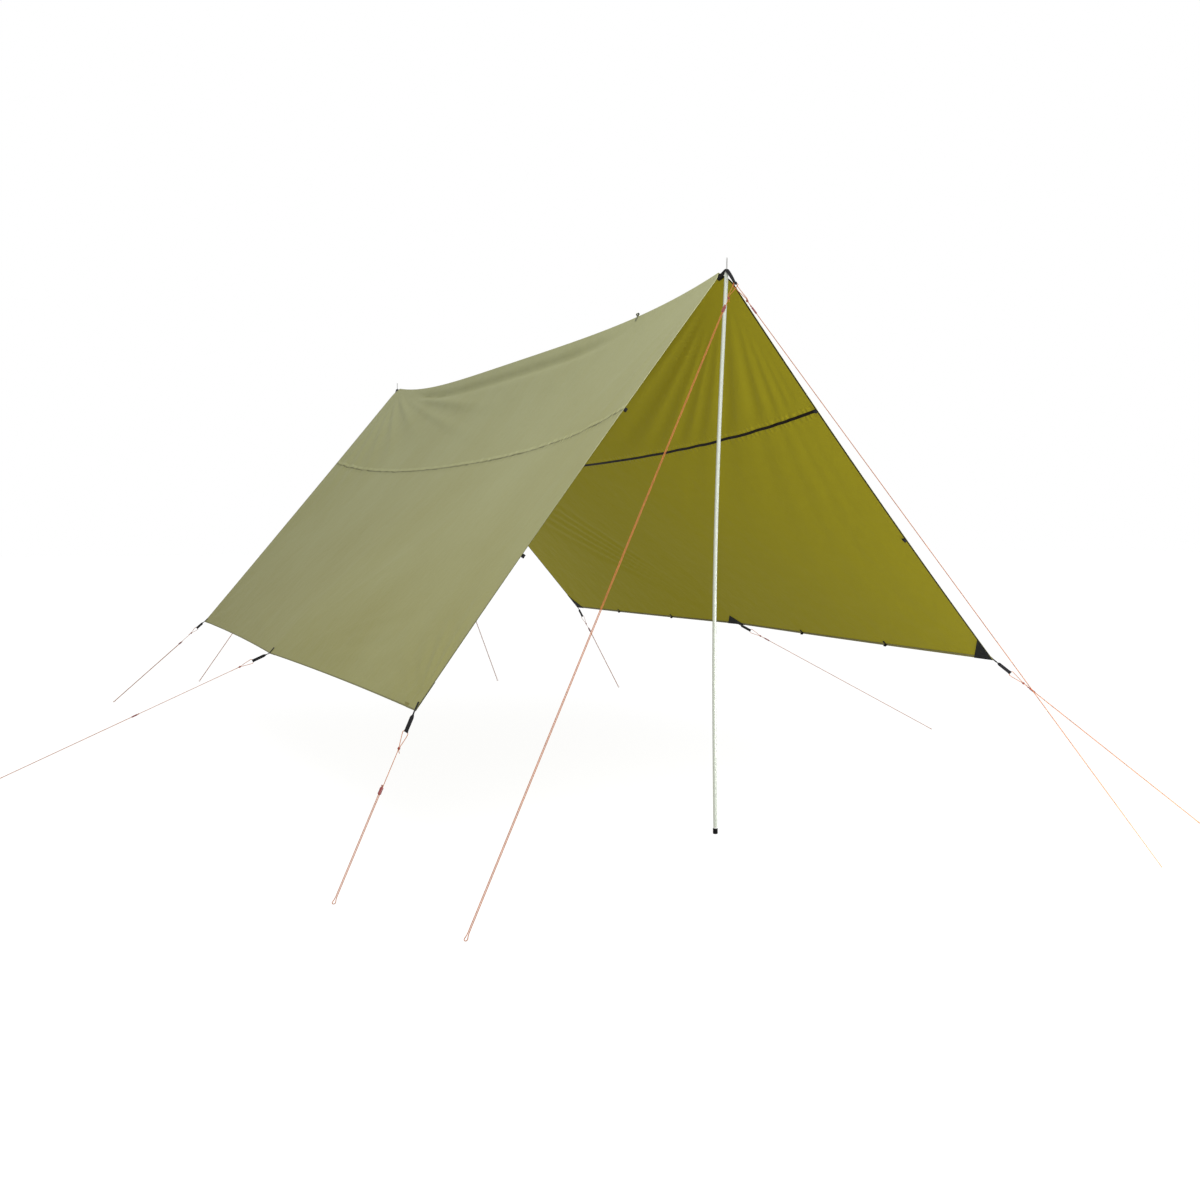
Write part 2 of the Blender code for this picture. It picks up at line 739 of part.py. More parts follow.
def guy_line(name, start, hole, strap_axis, half_width, ground, knot_at, runner_at):
    """A guy line with its eye, knot, ground loop, returning strand and stopper knot."""
    foot = Vector((ground[0], ground[1], CORD_RADIUS + GROUND_GAP))
    aim = (foot - start).normalized()
    sideways = aim.cross(Vector((0, 0, 1))).normalized()
    knot = start + aim * knot_at
    gap = sideways * STRAND_GAP
    top = start + aim * (runner_at - RUNNER_LENGTH / 2 - STOPPER_RADIUS * 1.6)
    low = foot - aim * GROUND_LOOP_RADIUS
    neck = low - aim * GROUND_LOOP_NECK
    tail = knot + aim * KNOT_TAIL - sideways * KNOT_TAIL * 0.5
    turn = [low + gap / 2
            + (aim * math.sin(angle) - sideways * math.cos(angle)) * GROUND_LOOP_RADIUS
            for angle in (math.pi / 4 * step for step in range(5))]
    straight = [knot.lerp(neck, share) for share in (0.0, 0.25, 0.5, 0.75, 1.0)]
    back = [(neck + gap).lerp(top + gap, share) for share in (0.0, 0.3, 0.65, 1.0)]
    main = tube(name, straight + turn + back, CORD_RADIUS)
    eye = smooth_route(eye_route(knot, hole, strap_axis, aim, half_width), 2)
    boolean(main, tube(name + "_eye", eye, CORD_RADIUS), "UNION")
    boolean(main, tube(name + "_tail", [knot, knot.lerp(tail, 0.5), tail], CORD_RADIUS), "UNION")
    boolean(main, ball(name + "_knot", knot, KNOT_RADIUS, 1.4, aim), "UNION")
    boolean(main, ball(name + "_stopper", top + gap, STOPPER_RADIUS, 1.2, aim), "UNION")
    finish(main, name, ORANGE_CORD, smooth=True)
    return aim, sideways


def runner(name, start, aim, sideways, runner_at):
    """A line tensioner: two round lobes with a waist, and a bore for each strand."""
    half = RUNNER_LENGTH / 2
    rise = half - RUNNER_LOBE
    outline = []
    for step in range(7):
        turn = math.pi * step / 6
        outline.append((rise + RUNNER_LOBE * math.sin(turn), -RUNNER_LOBE * math.cos(turn)))
    outline.append((0.0, RUNNER_WAIST))
    for step in range(7):
        turn = math.pi * step / 6
        outline.append((-rise - RUNNER_LOBE * math.sin(turn), RUNNER_LOBE * math.cos(turn)))
    outline.append((0.0, -RUNNER_WAIST))
    centre = start + aim * runner_at
    middle = centre + sideways * STRAND_GAP / 2
    body = extruded(name, [outline], RUNNER_THICKNESS, Matrix.Identity(4))
    round_edge = body.modifiers.new("edges", "BEVEL")
    round_edge.width = RUNNER_THICKNESS * 0.18
    round_edge.segments = 1
    round_edge.limit_method = "ANGLE"
    body = baked(body)
    body.matrix_world = frame_at(middle, aim, sideways)
    for sign in (-1, 1):
        bore = bored_rod(f"{name}_bore_{sign}", CORD_RADIUS + RUNNER_BORE_GAP, RUNNER_LENGTH * 1.4)
        bore.matrix_world = frame_at(middle + sideways * sign * STRAND_GAP / 2, sideways, aim.cross(sideways))
        boolean(body, bore, "DIFFERENCE")
    finish(body, name, RED_PLASTIC, smooth=True)


def bored_rod(name, radius, length, sides=8):
    """A plain rod along its own Z axis."""
    shape = bmesh.new()
    bmesh.ops.create_cone(shape, cap_ends=True, segments=sides, radius1=radius,
                          radius2=radius, depth=length)
    mesh = bpy.data.meshes.new(name)
    shape.to_mesh(mesh)
    shape.free()
    return mesh_object(name, mesh)


def make_pull(label, side, u, v, ground):
    """The strap, guy line and runner of one corner or mid point."""
    edge, aim, flat, outward = pull_line(side, u, v, ground)
    strap, hole = pull_strap(f"pull_strap_{label}", side, edge, aim, flat, outward)
    strap_axis = aim.cross(flat.cross(outward))
    line_aim, sideways = guy_line(f"guy_line_{label}", edge, hole, strap_axis,
                                  STRAP_END_WIDTH / 2, ground, KNOT_AT, ground[2])
    runner(f"runner_{label}", edge, line_aim, sideways, ground[2])


def make_pulls():
    """Pulls at the four corners and at the middle of both hems."""
    for end in ENDS:
        for side, sign in SIDES.items():
            name = f"{end}_{side}"
            make_pull(name, side, sign, 0.0 if end == "front" else 1.0, CORNER_LINES[name])
    for side, sign in SIDES.items():
        make_pull(f"mid_{side}", side, sign, 0.5, MID_LINES[side])


make_pulls()


# Apex straps: webbing under the end of the ridge, over the pole's spike, down to the guy lines

def pole_top(end):
    """Where the pole's spike passes through the apex strap."""
    height = FRONT_APEX_HEIGHT if end == "front" else REAR_APEX_HEIGHT
    return Vector((0.0, ENDS[end] * (HALF_RIDGE + POLE_AHEAD), height - APEX_STRAP / 2))


def fold_room(v, half):
    """The end of the cloth's fold at v, and how far down a strap of this half width fits."""
    inside = -(FIT_GAP + TAPE)
    u = 0.0
    while min(surface(u, v, inside).x, -surface(-u, v, inside).x) < half:
        u += 0.00002
    edge = surface(u, v, inside)
    ridge_v = 0.5 + edge.y / RIDGE_LENGTH
    lowest = min(edge.z, surface(-u, v, inside).z)
    point = ridge_point(ridge_v)
    return point, point.z - lowest + APEX_STRAP


def fold_strap(item):
    """Crease a strap along its middle, fold its sides down and narrow its free end."""
    shape = bmesh.new()
    shape.from_mesh(item.data)
    everything = shape.verts[:] + shape.edges[:] + shape.faces[:]
    bmesh.ops.bisect_plane(shape, geom=everything, plane_co=(0.0, 0.0, 0.0),
                           plane_no=(0.0, 0.0, 1.0))
    for vertex in shape.verts:
        taper = eased((vertex.co.x - APEX_TAPER_FROM) / (APEX_LEG_OUT - APEX_TAPER_FROM))
        vertex.co.z *= 1 + (APEX_TIE_WIDTH / APEX_STRAP_WIDTH - 1) * taper
        fold = 1 - eased((vertex.co.x / APEX_FOLD_END + 1) / 2)
        vertex.co.y -= abs(vertex.co.z) * APEX_FOLD * fold
    shape.to_mesh(item.data)
    shape.free()


def apex_strap(end):
    """The strap's outline lies in the plane of the ridge and is extruded across it."""
    sign = ENDS[end]
    top = pole_top(end)
    half = (APEX_STRAP_WIDTH / 2 + APEX_STRAP_CLEARANCE) * APEX_NEST
    cloth_end = 0.0 if end == "front" else 1.0
    inner_v = share_of_ridge(APEX_STRAP_OVERLAP)
    inner, inner_depth = fold_room(inner_v if end == "front" else 1 - inner_v, half)
    trimmed, depth = fold_room(cloth_end, half)
    leg = Vector((0.0, sign * APEX_LEG_OUT, -APEX_LEG_DOWN))
    bend = APEX_BEND
    towards_cloth = Vector((0.0, trimmed.y - top.y, trimmed.z - depth - top.z)).normalized()
    path = [(sign * (inner.y - top.y), inner.z - inner_depth - top.z),
            (sign * (trimmed.y - top.y), trimmed.z - depth - top.z),
            (sign * towards_cloth.y * bend, towards_cloth.z * bend),
            (0.0, towards_cloth.z * bend * 0.25),
            (leg.normalized().y * sign * bend, leg.normalized().z * bend)]
    path += [(sign * leg.y * share, leg.z * share) for share in APEX_LEG_STATIONS]
    outline, bore, centre = looped_outline(path, APEX_STRAP, APEX_HOLE, APEX_STRAP)
    place = frame_at(top, Vector((0.0, sign, 0.0)), Vector((0.0, 0.0, 1.0)))
    strap = extruded(f"apex_strap_{end}", [outline, bore], APEX_STRAP_WIDTH, place)
    fold_strap(strap)
    hole = bored_rod(f"apex_hole_{end}", SPIKE_HOLE_RADIUS, 0.02, POLE_SIDES)
    hole.location = top
    boolean(strap, hole, "DIFFERENCE")
    finish(strap, f"apex_strap_{end}", BLACK_WEBBING)
    tie = top + Vector((0.0, sign * centre.x, centre.y))
    return tie, leg.normalized()


def make_apexes():
    """Both apex straps, each with the two guy lines that hold its pole upright."""
    across = Vector((1.0, 0.0, 0.0))
    for end in ENDS:
        tie, leg = apex_strap(end)
        inward = across.cross(leg) * -ENDS[end]
        for side, sign in SIDES.items():
            name = f"apex_{end}_{side}"
            ground = APEX_LINES[f"{end}_{side}"]
            start = tie + inward * sign * EYE_OFFSET
            line_aim, sideways = guy_line(f"guy_line_{name}", start, start, across,
                                          APEX_TIE_WIDTH / 2, ground, APEX_KNOT_AT, ground[2])
            runner(f"runner_{name}", start, line_aim, sideways, ground[2])


def make_ridge_loop():
    """A lashing loop that stands on the ridge, its two feet sewn down the slopes."""
    seat = CLOTH + FIT_GAP
    top = surface(0.0, RIDGE_LOOP_AT, seat)
    foot_u = share_of_slope(RIDGE_LOOP_FOOT)
    left = surface(-foot_u, RIDGE_LOOP_AT, seat) - top
    right = surface(foot_u, RIDGE_LOOP_AT, seat) - top
    rim = RIDGE_LOOP_HOLE / 2 + LOOP_WEB
    centre = rim + LOOP_WEB * 1.5
    outline = []
    for step in range(11):
        turn = math.radians(-60 + 300 * step / 10)
        outline.append((rim * math.cos(turn), rim * math.sin(turn) + centre))
    outline += [(left.x, left.z + LOOP_WEB * 1.6), (left.x, left.z), (0.0, 0.0),
                (right.x, right.z), (right.x, right.z + LOOP_WEB * 1.6)]
    bore = []
    for step in range(8):
        turn = 2 * math.pi * step / 8
        bore.append((RIDGE_LOOP_HOLE / 2 * math.cos(turn),
                     RIDGE_LOOP_HOLE / 2 * math.sin(turn) + centre))
    along = surface(0.0, RIDGE_LOOP_AT + 0.001) - surface(0.0, RIDGE_LOOP_AT - 0.001)
    across = Vector((1.0, 0.0, 0.0))
    loop = extruded("ridge_loop", [outline, bore], LOOP_WIDTH,
                    frame_at(top, across, across.cross(along)))
    finish(loop, "ridge_loop", BLACK_WEBBING)


make_apexes()
make_ridge_loop()


# Poles: plugged alloy sections with a spike on top and a rubber foot

def turned(name, profile, sides=POLE_SIDES):
    """A turned piece: its profile runs down the outer side, then up the inner side."""
    curve = bpy.data.meshes.new(name)
    shape = bmesh.new()
    verts = [shape.verts.new((radius, 0.0, height)) for radius, height in profile]
    for first, second in zip(verts, verts[1:]):
        shape.edges.new((first, second))
    shape.to_mesh(curve)
    shape.free()
    item = mesh_object(name, curve)
    screw = item.modifiers.new("turn", "SCREW")
    screw.steps = sides
    screw.render_steps = sides
    screw.use_merge_vertices = True
    screw.merge_threshold = 0.00001
    return baked(item)


def rings(radius, high, low, count):
    """Profile points down a straight wall, so that the wall can follow a bow."""
    return [(radius, high + (low - high) * step / count) for step in range(count + 1)]


def bow(height, length):
    """How far the loaded pole bows sideways at a height."""
    return -POLE_BOW * math.sin(math.pi * min(1.0, max(0.0, height / length)))


def set_up(item, end, length, foot):
    """Bow a straight pole piece, lean it to the apex and put its origin on the hinge."""
    top = pole_top(end)
    for vertex in item.data.vertices:
        spot = vertex.co.copy()
        spot.x += bow(spot.z, length)
        spot.y += (top.y - foot.y) * spot.z / length
        vertex.co = spot + foot - top
    item.location = top
    return item


def make_pole(end):
    """Three sections, each with a spigot in the next one's socket, a top plug and a foot."""
    sign = ENDS[end]
    foot = Vector((0.0, sign * (HALF_RIDGE - FOOT_INSET), 0.0))
    length = pole_top(end).z
    tube_low = FOOT_BASE + FIT_GAP
    tube_top = length - NOSE_LENGTH - NOSE_DROP
    step = (tube_top - tube_low) / POLE_SECTIONS
    inner = POLE_RADIUS - POLE_WALL
    spigot = inner - SPIGOT_GAP
    room = SPIGOT_GAP * 4
    for number in range(POLE_SECTIONS):
        low = tube_low + step * number
        high = low + step - FIT_GAP
        socket_end = low + SPIGOT_LENGTH + room
        if number < POLE_SECTIONS - 1:
            profile = [(0.0, high + SPIGOT_LENGTH)]
            profile += rings(spigot, high + SPIGOT_LENGTH, high, 2)
        else:
            plug_end = high - PLUG_LENGTH - room
            profile = [(0.0, plug_end), (inner, plug_end), (inner, high)]
        profile += rings(POLE_RADIUS, high, low, POLE_RINGS)
        profile += [(inner, low), (inner, socket_end), (0.0, socket_end)]
        section = turned(f"pole_{end}_section_{number + 1}", profile)
        set_up(section, end, length, foot)
        finish(section, f"pole_{end}_section_{number + 1}", PALE_ALLOY, smooth=True)
    spike_top = length + SPIKE_LENGTH
    nose_top = tube_top + NOSE_LENGTH
    plug = turned(f"pole_{end}_spike", [
        (0.0, spike_top), (SPIKE_RADIUS * 0.6, spike_top),
        (SPIKE_RADIUS, spike_top - SPIKE_RADIUS), (SPIKE_RADIUS, nose_top),
        (POLE_RADIUS, tube_top + NOSE_COLLAR), (POLE_RADIUS, tube_top),
        (spigot, tube_top), (spigot, tube_top - PLUG_LENGTH), (0.0, tube_top - PLUG_LENGTH)])
    set_up(plug, end, length, foot)
    finish(plug, f"pole_{end}_spike", GREY_STEEL, smooth=True)
    cap_radius = POLE_RADIUS + FIT_GAP + FOOT_WALL
    cap_top = FOOT_BASE + FOOT_GRIP
    round_edge = [(cap_radius - FOOT_ROUND * (1 - math.cos(angle)),
                   FOOT_ROUND * (1 - math.sin(angle)))
                  for angle in (math.pi / 2 * part / 3 for part in range(4))]
    cap = turned(f"pole_{end}_foot", [
        (0.0, FOOT_BASE), (POLE_RADIUS + FIT_GAP, FOOT_BASE), (POLE_RADIUS + FIT_GAP, cap_top),
        (cap_radius, cap_top)] + round_edge + [(0.0, 0.0)])
    set_up(cap, end, length, foot)
    finish(cap, f"pole_{end}_foot", BLACK_RUBBER, smooth=True)


for pole_end in ENDS:
    make_pole(pole_end)
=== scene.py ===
"""Looks of a camping tarp, pitched on two poles and ten guy lines.

Metres, +Z up. X runs across the tarp, Y along its ridge with the front at -Y.
"""
import math
import bpy
from mathutils import Matrix, Vector


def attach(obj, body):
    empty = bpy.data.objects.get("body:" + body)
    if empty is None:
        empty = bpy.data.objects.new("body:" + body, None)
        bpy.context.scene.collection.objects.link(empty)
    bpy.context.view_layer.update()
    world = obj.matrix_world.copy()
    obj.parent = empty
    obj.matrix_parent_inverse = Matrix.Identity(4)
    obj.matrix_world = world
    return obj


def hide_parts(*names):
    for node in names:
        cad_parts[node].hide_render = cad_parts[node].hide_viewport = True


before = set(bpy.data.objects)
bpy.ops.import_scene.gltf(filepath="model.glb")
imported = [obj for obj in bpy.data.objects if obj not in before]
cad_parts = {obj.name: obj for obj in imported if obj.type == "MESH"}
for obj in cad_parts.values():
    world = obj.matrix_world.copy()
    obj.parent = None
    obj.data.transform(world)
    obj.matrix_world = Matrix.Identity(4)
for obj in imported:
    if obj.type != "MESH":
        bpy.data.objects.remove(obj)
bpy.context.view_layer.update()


# Camera and studio
# The camera stands low, in front of the left corner. A wide soft box hangs high in front,
# two weaker ones light the inside, and the floor and the sky show white to the camera.

bpy.ops.object.camera_add(location=(-2.532, -6.833, 1.16),
                          rotation=(math.radians(87.173), 0.0, math.radians(-23.838)))
camera = bpy.context.object
camera.data.lens = 41.44
camera.data.sensor_width = 36.0
camera.data.clip_end = 200.0
bpy.context.scene.camera = camera
bpy.context.scene.view_settings.view_transform = "Standard"


def rest_hand():
    """Let go of everything before a new piece is started."""
    if bpy.context.object and bpy.context.object.mode != "OBJECT":
        bpy.ops.object.mode_set(mode="OBJECT")
    bpy.ops.object.select_all(action="DESELECT")


def in_scene(name, data):
    """A new object in the scene, for a mesh or a lamp."""
    made = bpy.data.objects.new(name, data)
    bpy.context.scene.collection.objects.link(made)
    return made


def soft_box(name, place, target, wide, high, watts):
    """A flat lamp that faces a point."""
    lamp = bpy.data.lights.new(name, "AREA")
    lamp.shape = "RECTANGLE"
    lamp.size = wide
    lamp.size_y = high
    lamp.energy = watts
    stand = in_scene(name, lamp)
    stand.location = place
    aim = Vector(target) - Vector(place)
    stand.rotation_euler = aim.to_track_quat("-Z", "Y").to_euler()
    stand.visible_camera = False


soft_box("high_box", (-2.5, -7.0, 7.0), (-0.8, 0.0, 1.0), 4.0, 4.0, 520)
soft_box("front_box", (-3.0, -8.5, 1.8), (0.6, 0.0, 1.2), 4.0, 3.0, 40)
soft_box("low_box", (1.5, -3.4, 0.12), (0.3, -1.0, 1.75), 1.8, 1.0, 60)


class Wire:
    """An output of a node, so that sums of outputs are written as plain sums."""

    def __init__(self, nodes, socket):
        self.nodes = nodes
        self.socket = socket

    def worked(self, operation, *others):
        return self.nodes.node("Math", (self, *others), operation=operation)

    def __add__(self, other):
        return self.worked("ADD", other)

    def __sub__(self, other):
        return self.worked("SUBTRACT", other)

    def __rsub__(self, other):
        return self.nodes.node("Math", (other, self), operation="SUBTRACT")

    def __mul__(self, other):
        return self.worked("MULTIPLY", other)

    def __truediv__(self, other):
        return self.worked("DIVIDE", other)

    def sine(self):
        return self.worked("SINE")

    def size(self):
        return self.worked("ABSOLUTE")

    def above(self, level):
        return self.worked("GREATER_THAN", level)

    def below(self, level):
        return self.worked("LESS_THAN", level)

    def capped(self):
        return self.nodes.node("Clamp", {"Value": self})

    def part(self, name):
        """Another output of the same node."""
        return Wire(self.nodes, self.socket.node.outputs[name])


class Nodes:
    """A tree of nodes."""

    def __init__(self, tree):
        self.tree = tree

    def put(self, socket, value):
        """Give a socket its value, or a wire to it."""
        if isinstance(value, Wire):
            self.tree.links.new(value.socket, socket)
        elif isinstance(value, tuple) and len(value) == 3 and socket.type == "RGBA":
            socket.default_value = (*value, 1.0)
        else:
            socket.default_value = value

    def node(self, kind, values=(), **settings):
        """A new node, with what goes into its sockets and its settings."""
        made = self.tree.nodes.new("ShaderNode" + kind)
        for key, value in settings.items():
            setattr(made, key, value)
        pairs = values.items() if isinstance(values, dict) else enumerate(values)
        for key, value in pairs:
            self.put(made.inputs[key], value)
        used = [output for output in made.outputs if output.enabled]
        return Wire(self, used[0])

    def seen_by(self, *kinds):
        """1 for rays of any of these kinds, 0 for the others."""
        ray = self.node("LightPath")
        first, *others = [ray.part(f"Is {kind} Ray") for kind in kinds]
        for other in others:
            first = first.worked("MAXIMUM", other)
        return first


class Finish(Nodes):
    """A material on a Principled shader."""

    def __init__(self, name, roughness, metallic=0.0, shine=0.5):
        self.material = bpy.data.materials.new(name)
        self.material.use_nodes = True
        super().__init__(self.material.node_tree)
        self.shader = self.tree.nodes["Principled BSDF"]
        self.give("Roughness", roughness)
        self.give("Metallic", metallic)
        self.give("Specular IOR Level", shine)

    def give(self, name, value):
        """Set an input of the shader."""
        self.put(self.shader.inputs[name], value)

    def in_place(self):
        """Places in the piece's own metres."""
        return self.node("TexCoord").part("Object")

    def axes(self, where):
        """The X of each place, with its Y and Z as other parts."""
        return self.node("SeparateXYZ", {"Vector": where})

    def laid_flat(self):
        """Places on the piece laid flat, in metres, with their X and their Y."""
        flat = self.node("UVMap", uv_map="UVMap")
        first = self.axes(flat)
        return flat, first, first.part("Y")

    def mix(self, share, first, second):
        """A colour between two colours."""
        return self.node("Mix", {0: share, 6: first, 7: second}, data_type="RGBA")

    def cloud(self, where, scale, detail=2.0, roughness=0.5):
        """Soft noise, from 0 to 1."""
        return self.node("TexNoise", {"Vector": where, "Scale": scale, "Detail": detail,
                                      "Roughness": roughness})

    def colour(self, share, first, second):
        """Colour the surface between two colours."""
        self.give("Base Color", self.mix(share, first, second))

    def dulled(self, value):
        self.give("Roughness", value)

    def raised(self, height, depth, strength):
        """Relief: the height is a share of the depth in metres."""
        bump = self.node("Bump", {"Height": height, "Distance": depth, "Strength": strength})
        self.give("Normal", bump)


WHITE = (1.0, 1.0, 1.0)
AMBIENT = 0.66
world = bpy.data.worlds.new("studio")
bpy.context.scene.world = world
world.use_nodes = True
sky = Nodes(world.node_tree)
sky.tree.nodes.clear()
seen = sky.seen_by("Camera", "Glossy", "Transmission")
backs = [sky.node("Background", {"Color": WHITE, "Strength": strength})
         for strength in (AMBIENT, 1.0)]
sky_out = sky.tree.nodes.new("ShaderNodeOutputWorld")
sky.put(sky_out.inputs["Surface"], sky.node("MixShader", [seen, *backs]))


def floor_finish():
    """White to the camera where no shadow falls."""
    paper = Finish("floor paper", 0.9)
    paper.give("Base Color", (0.55, 0.55, 0.55))
    glow = paper.node("Emission", {"Color": WHITE, "Strength": 1.2})
    lit = Wire(paper, paper.shader.outputs[0])
    blend = paper.node("MixShader", [paper.seen_by("Camera", "Glossy") * 0.78, lit, glow])
    paper.put(paper.tree.nodes["Material Output"].inputs["Surface"], blend)
    return paper


rest_hand()
bpy.ops.mesh.primitive_plane_add(size=120.0, location=(0.0, 0.0, 0.0))
floor = bpy.context.object
floor.name = "studio_floor"
floor.data.materials.append(floor_finish().material)


# Canopy
# One big sheet of coated cloth, sewn from three widths with two flat seams. It hangs in
# a shallow curve over the ridge, and folds run out from every point that pulls at it.

SLOPE = 2.0
RIDGE = 4.5
CLOTH = 0.001
SEAM = 1 / 3
SIGN = {"left": -1, "right": 1, "front": -1, "rear": 1}
APEX = {"front": 2.14, "rear": 2.12}
# Height of each corner and how far it is pulled out along the ridge
CORNER = {"front_left": (0.548, 0.028), "front_right": (0.624, -0.026),
          "rear_left": (0.587, -0.018), "rear_right": (0.619, 0.038)}
# Height of the middle of each hem and how far it is pulled outward
HEM_MIDDLE = {"left": (0.564, 0.037), "right": (0.639, 0.025)}
HEM_SCALLOP = 0.018
APEX_CUT = 0.045
APEX_CUT_REACH = 0.07
RIDGE_SAG = 0.085
SLOPE_DROOP = 0.092
FRONT_BOW = 0.027
REAR_BOW = 0.021
CREASE_DEEP = 0.018
CREASE_HALF = 0.024
TOUCHING = 0.00001


def corner(end, side):
    """A corner of the cloth, from its height and the slope's own width."""
    height, shift = CORNER[f"{end}_{side}"]
    drop = APEX[end] - height
    across = math.sqrt(SLOPE ** 2 - drop ** 2 - shift ** 2)
    return Vector((SIGN[side] * across, SIGN[end] * (RIDGE / 2 + shift), height))


def hem_point(side, v):
    """A point of a side hem, which scallops inward between its three pulls."""
    front, rear = corner("front", side), corner("rear", side)
    height, pull = HEM_MIDDLE[side]
    middle = Vector(((front.x + rear.x) / 2 + SIGN[side] * pull, 0.0, height))
    start, end, t = (front, middle, 2 * v) if v < 0.5 else (middle, rear, 2 * v - 1)
    point = start.lerp(end, t)
    point.x -= SIGN[side] * HEM_SCALLOP * 4 * t * (1 - t)
    return point


def base_point(u, v, side):
    """The underside of the smooth cloth, u from the ridge to a hem, v from front to rear."""
    reach = abs(u)
    trim = APEX_CUT / RIDGE * max(0.0, 1 - reach * SLOPE / APEX_CUT_REACH) ** 2
    v += trim * ((1 - v) ** 20 - v ** 20)
    ahead = 2 * v - 1
    height = APEX["front"] + (APEX["rear"] - APEX["front"]) * v - RIDGE_SAG * (1 - ahead ** 4)
    ridge = Vector((0.0, RIDGE / 2 * ahead, height))
    slope = hem_point(side, v) - ridge
    inward = Vector((0, 1, 0)).cross(slope).normalized()
    if inward.z > 0:
        inward.negate()
    droop = SLOPE_DROOP * 27 / 4 * reach * (1 - reach) ** 2 * (1 - ahead ** 2)
    point = ridge + slope * reach + inward * droop
    point.y += 4 * reach * (1 - reach) * (FRONT_BOW * (1 - v) ** 3 - REAR_BOW * v ** 3)
    return point


def base_normal(u, v, side):
    """The outward normal of the smooth cloth."""
    step = 0.0005
    across = base_point(u + SIGN[side] * step, v, side) - base_point(u, v, side)
    along = base_point(u, v + step, side) - base_point(u, v - step, side)
    return along.cross(across).normalized() * -SIGN[side]


# Folds: where they start (down the slope, along the ridge, in metres), where they are
# strongest, where they end, and each fold's direction and half width in degrees and rise
FRONT_FAN = [(10.0, 1.8, 0.0068), (15.3, 1.8, 0.0108), (22.5, 2.2, 0.0135), (32.0, 3.0, 0.019),
             (45.5, 3.2, 0.028), (54.3, 1.6, 0.019), (59.3, 1.5, 0.0205), (64.4, 1.4, 0.0205),
             (70.0, 1.8, 0.028), (77.0, 2.3, 0.0225)]
REAR_FAN = [(-14, 2.5, 0.003), (-24, 3.0, 0.004), (-38, 4.0, 0.005), (-55, 4.0, 0.0045),
            (-68, 3.0, 0.004)]
FOLDS = {
    "right": [((0.0, 0.0), 0.85, 2.2, FRONT_FAN),
              ((0.0, RIDGE), 0.5, 1.4, REAR_FAN),
              ((SLOPE, RIDGE / 2), 1.0, 2.3,
               [(121, 1.5, 0.0075), (126, 1.4, 0.009), (131, 1.4, 0.009), (136, 1.5, 0.008),
                (142, 1.8, 0.006), (222, 3.0, 0.004)]),
              ((SLOPE, 0.0), 0.25, 0.8, [(110, 6.0, 0.002), (135, 7.0, 0.0025)]),
              ((SLOPE, RIDGE), 0.25, 0.8, [(-110, 6.0, 0.002), (-135, 7.0, 0.0025)])],
    "left": [((0.0, 0.0), 0.5, 1.5, [(12, 3.0, 0.003), (30, 4.0, 0.004), (52, 4.0, 0.004)]),
             ((0.0, RIDGE), 0.45, 1.4,
              [(-14, 3.0, 0.006), (-28, 3.5, 0.0075), (-44, 3.5, 0.0085), (-58, 3.0, 0.01),
               (-71, 2.6, 0.012)]),
             ((0.0, RIDGE), 1.3, 2.4, [(-83.5, 1.3, 0.015), (-78.5, 1.2, 0.008)]),
             ((SLOPE, RIDGE / 2), 0.8, 2.0,
              [(222, 3.0, 0.004), (254, 1.5, 0.005), (259, 1.2, 0.005), (264, 1.0, 0.004),
               (100, 2.0, 0.004)]),
             ((SLOPE, 0.0), 0.16, 0.7,
              [(98, 2.5, 0.005), (110, 3.0, 0.006), (125, 3.5, 0.006), (142, 4.0, 0.006),
               (162, 4.0, 0.005)]),
             ((SLOPE, RIDGE), 0.2, 0.7, [(-105, 4.0, 0.004), (-135, 7.0, 0.004)])],
}


def eased(value):
    """A smooth step from 0 to 1."""
    value = min(1.0, max(0.0, value))
    return value * value * (3 - 2 * value)


def fold_rise(u, v, side):
    """How far the folds lift the cloth off its smooth shape."""
    down, along = abs(u) * SLOPE, v * RIDGE
    rise = 0.0
    for (start_down, start_along), strongest, end, creases in FOLDS[side]:
        reach = math.hypot(down - start_down, along - start_along)
        if reach >= end or reach < 0.02:
            continue
        share = eased(reach / strongest) * (1 - eased((reach - strongest) / (end - strongest)))
        if creases is FRONT_FAN:
            # This fan weakens just before it meets the seam
            share *= 1 - 0.75 * eased((down - 0.52) / 0.14)
        heading = math.degrees(math.atan2(along - start_along, down - start_down))
        for direction, width, height in creases:
            off = (heading - direction + 180) % 360 - 180
            if abs(off) < 3 * width:
                rise += height * share * math.exp(-(off / width) ** 2)
    # A shallow crease beside the sagging ridge, which fades out towards both ends
    crease = RIDGE_SAG * (1 - (2 * v - 1) ** 4)
    shallow = eased((along - 0.7) / 0.8) * eased((RIDGE - 0.3 - along) / 0.5)
    rise -= CREASE_DEEP * shallow * math.exp(-((down - crease) / CREASE_HALF) ** 2)
    return rise * eased(abs(u) / 0.03)


def cloth(u, v, offset):
    """A point of the folded cloth, moved outward by the offset."""
    side = "left" if u < 0 else "right"
    point = base_point(u, v, side)
    if u == 0:
        rise = (base_normal(u, v, "left").z + base_normal(u, v, "right").z) / 2
        return point + Vector((0.0, 0.0, offset / rise))
    return point + base_normal(u, v, side) * (offset + fold_rise(u, v, side))


def even(start, end, count):
    """Evenly spaced values, both ends included."""
    return [start + (end - start) * step / count for step in range(count + 1)]


def hold(piece):
    """Select one piece alone and make it the active one."""
    rest_hand()
    bpy.context.view_layer.objects.active = piece
    piece.select_set(True)


def open_whole():
    """Start to edit all of the active piece."""
    bpy.ops.object.mode_set(mode="EDIT")
    bpy.ops.mesh.select_all(action="SELECT")


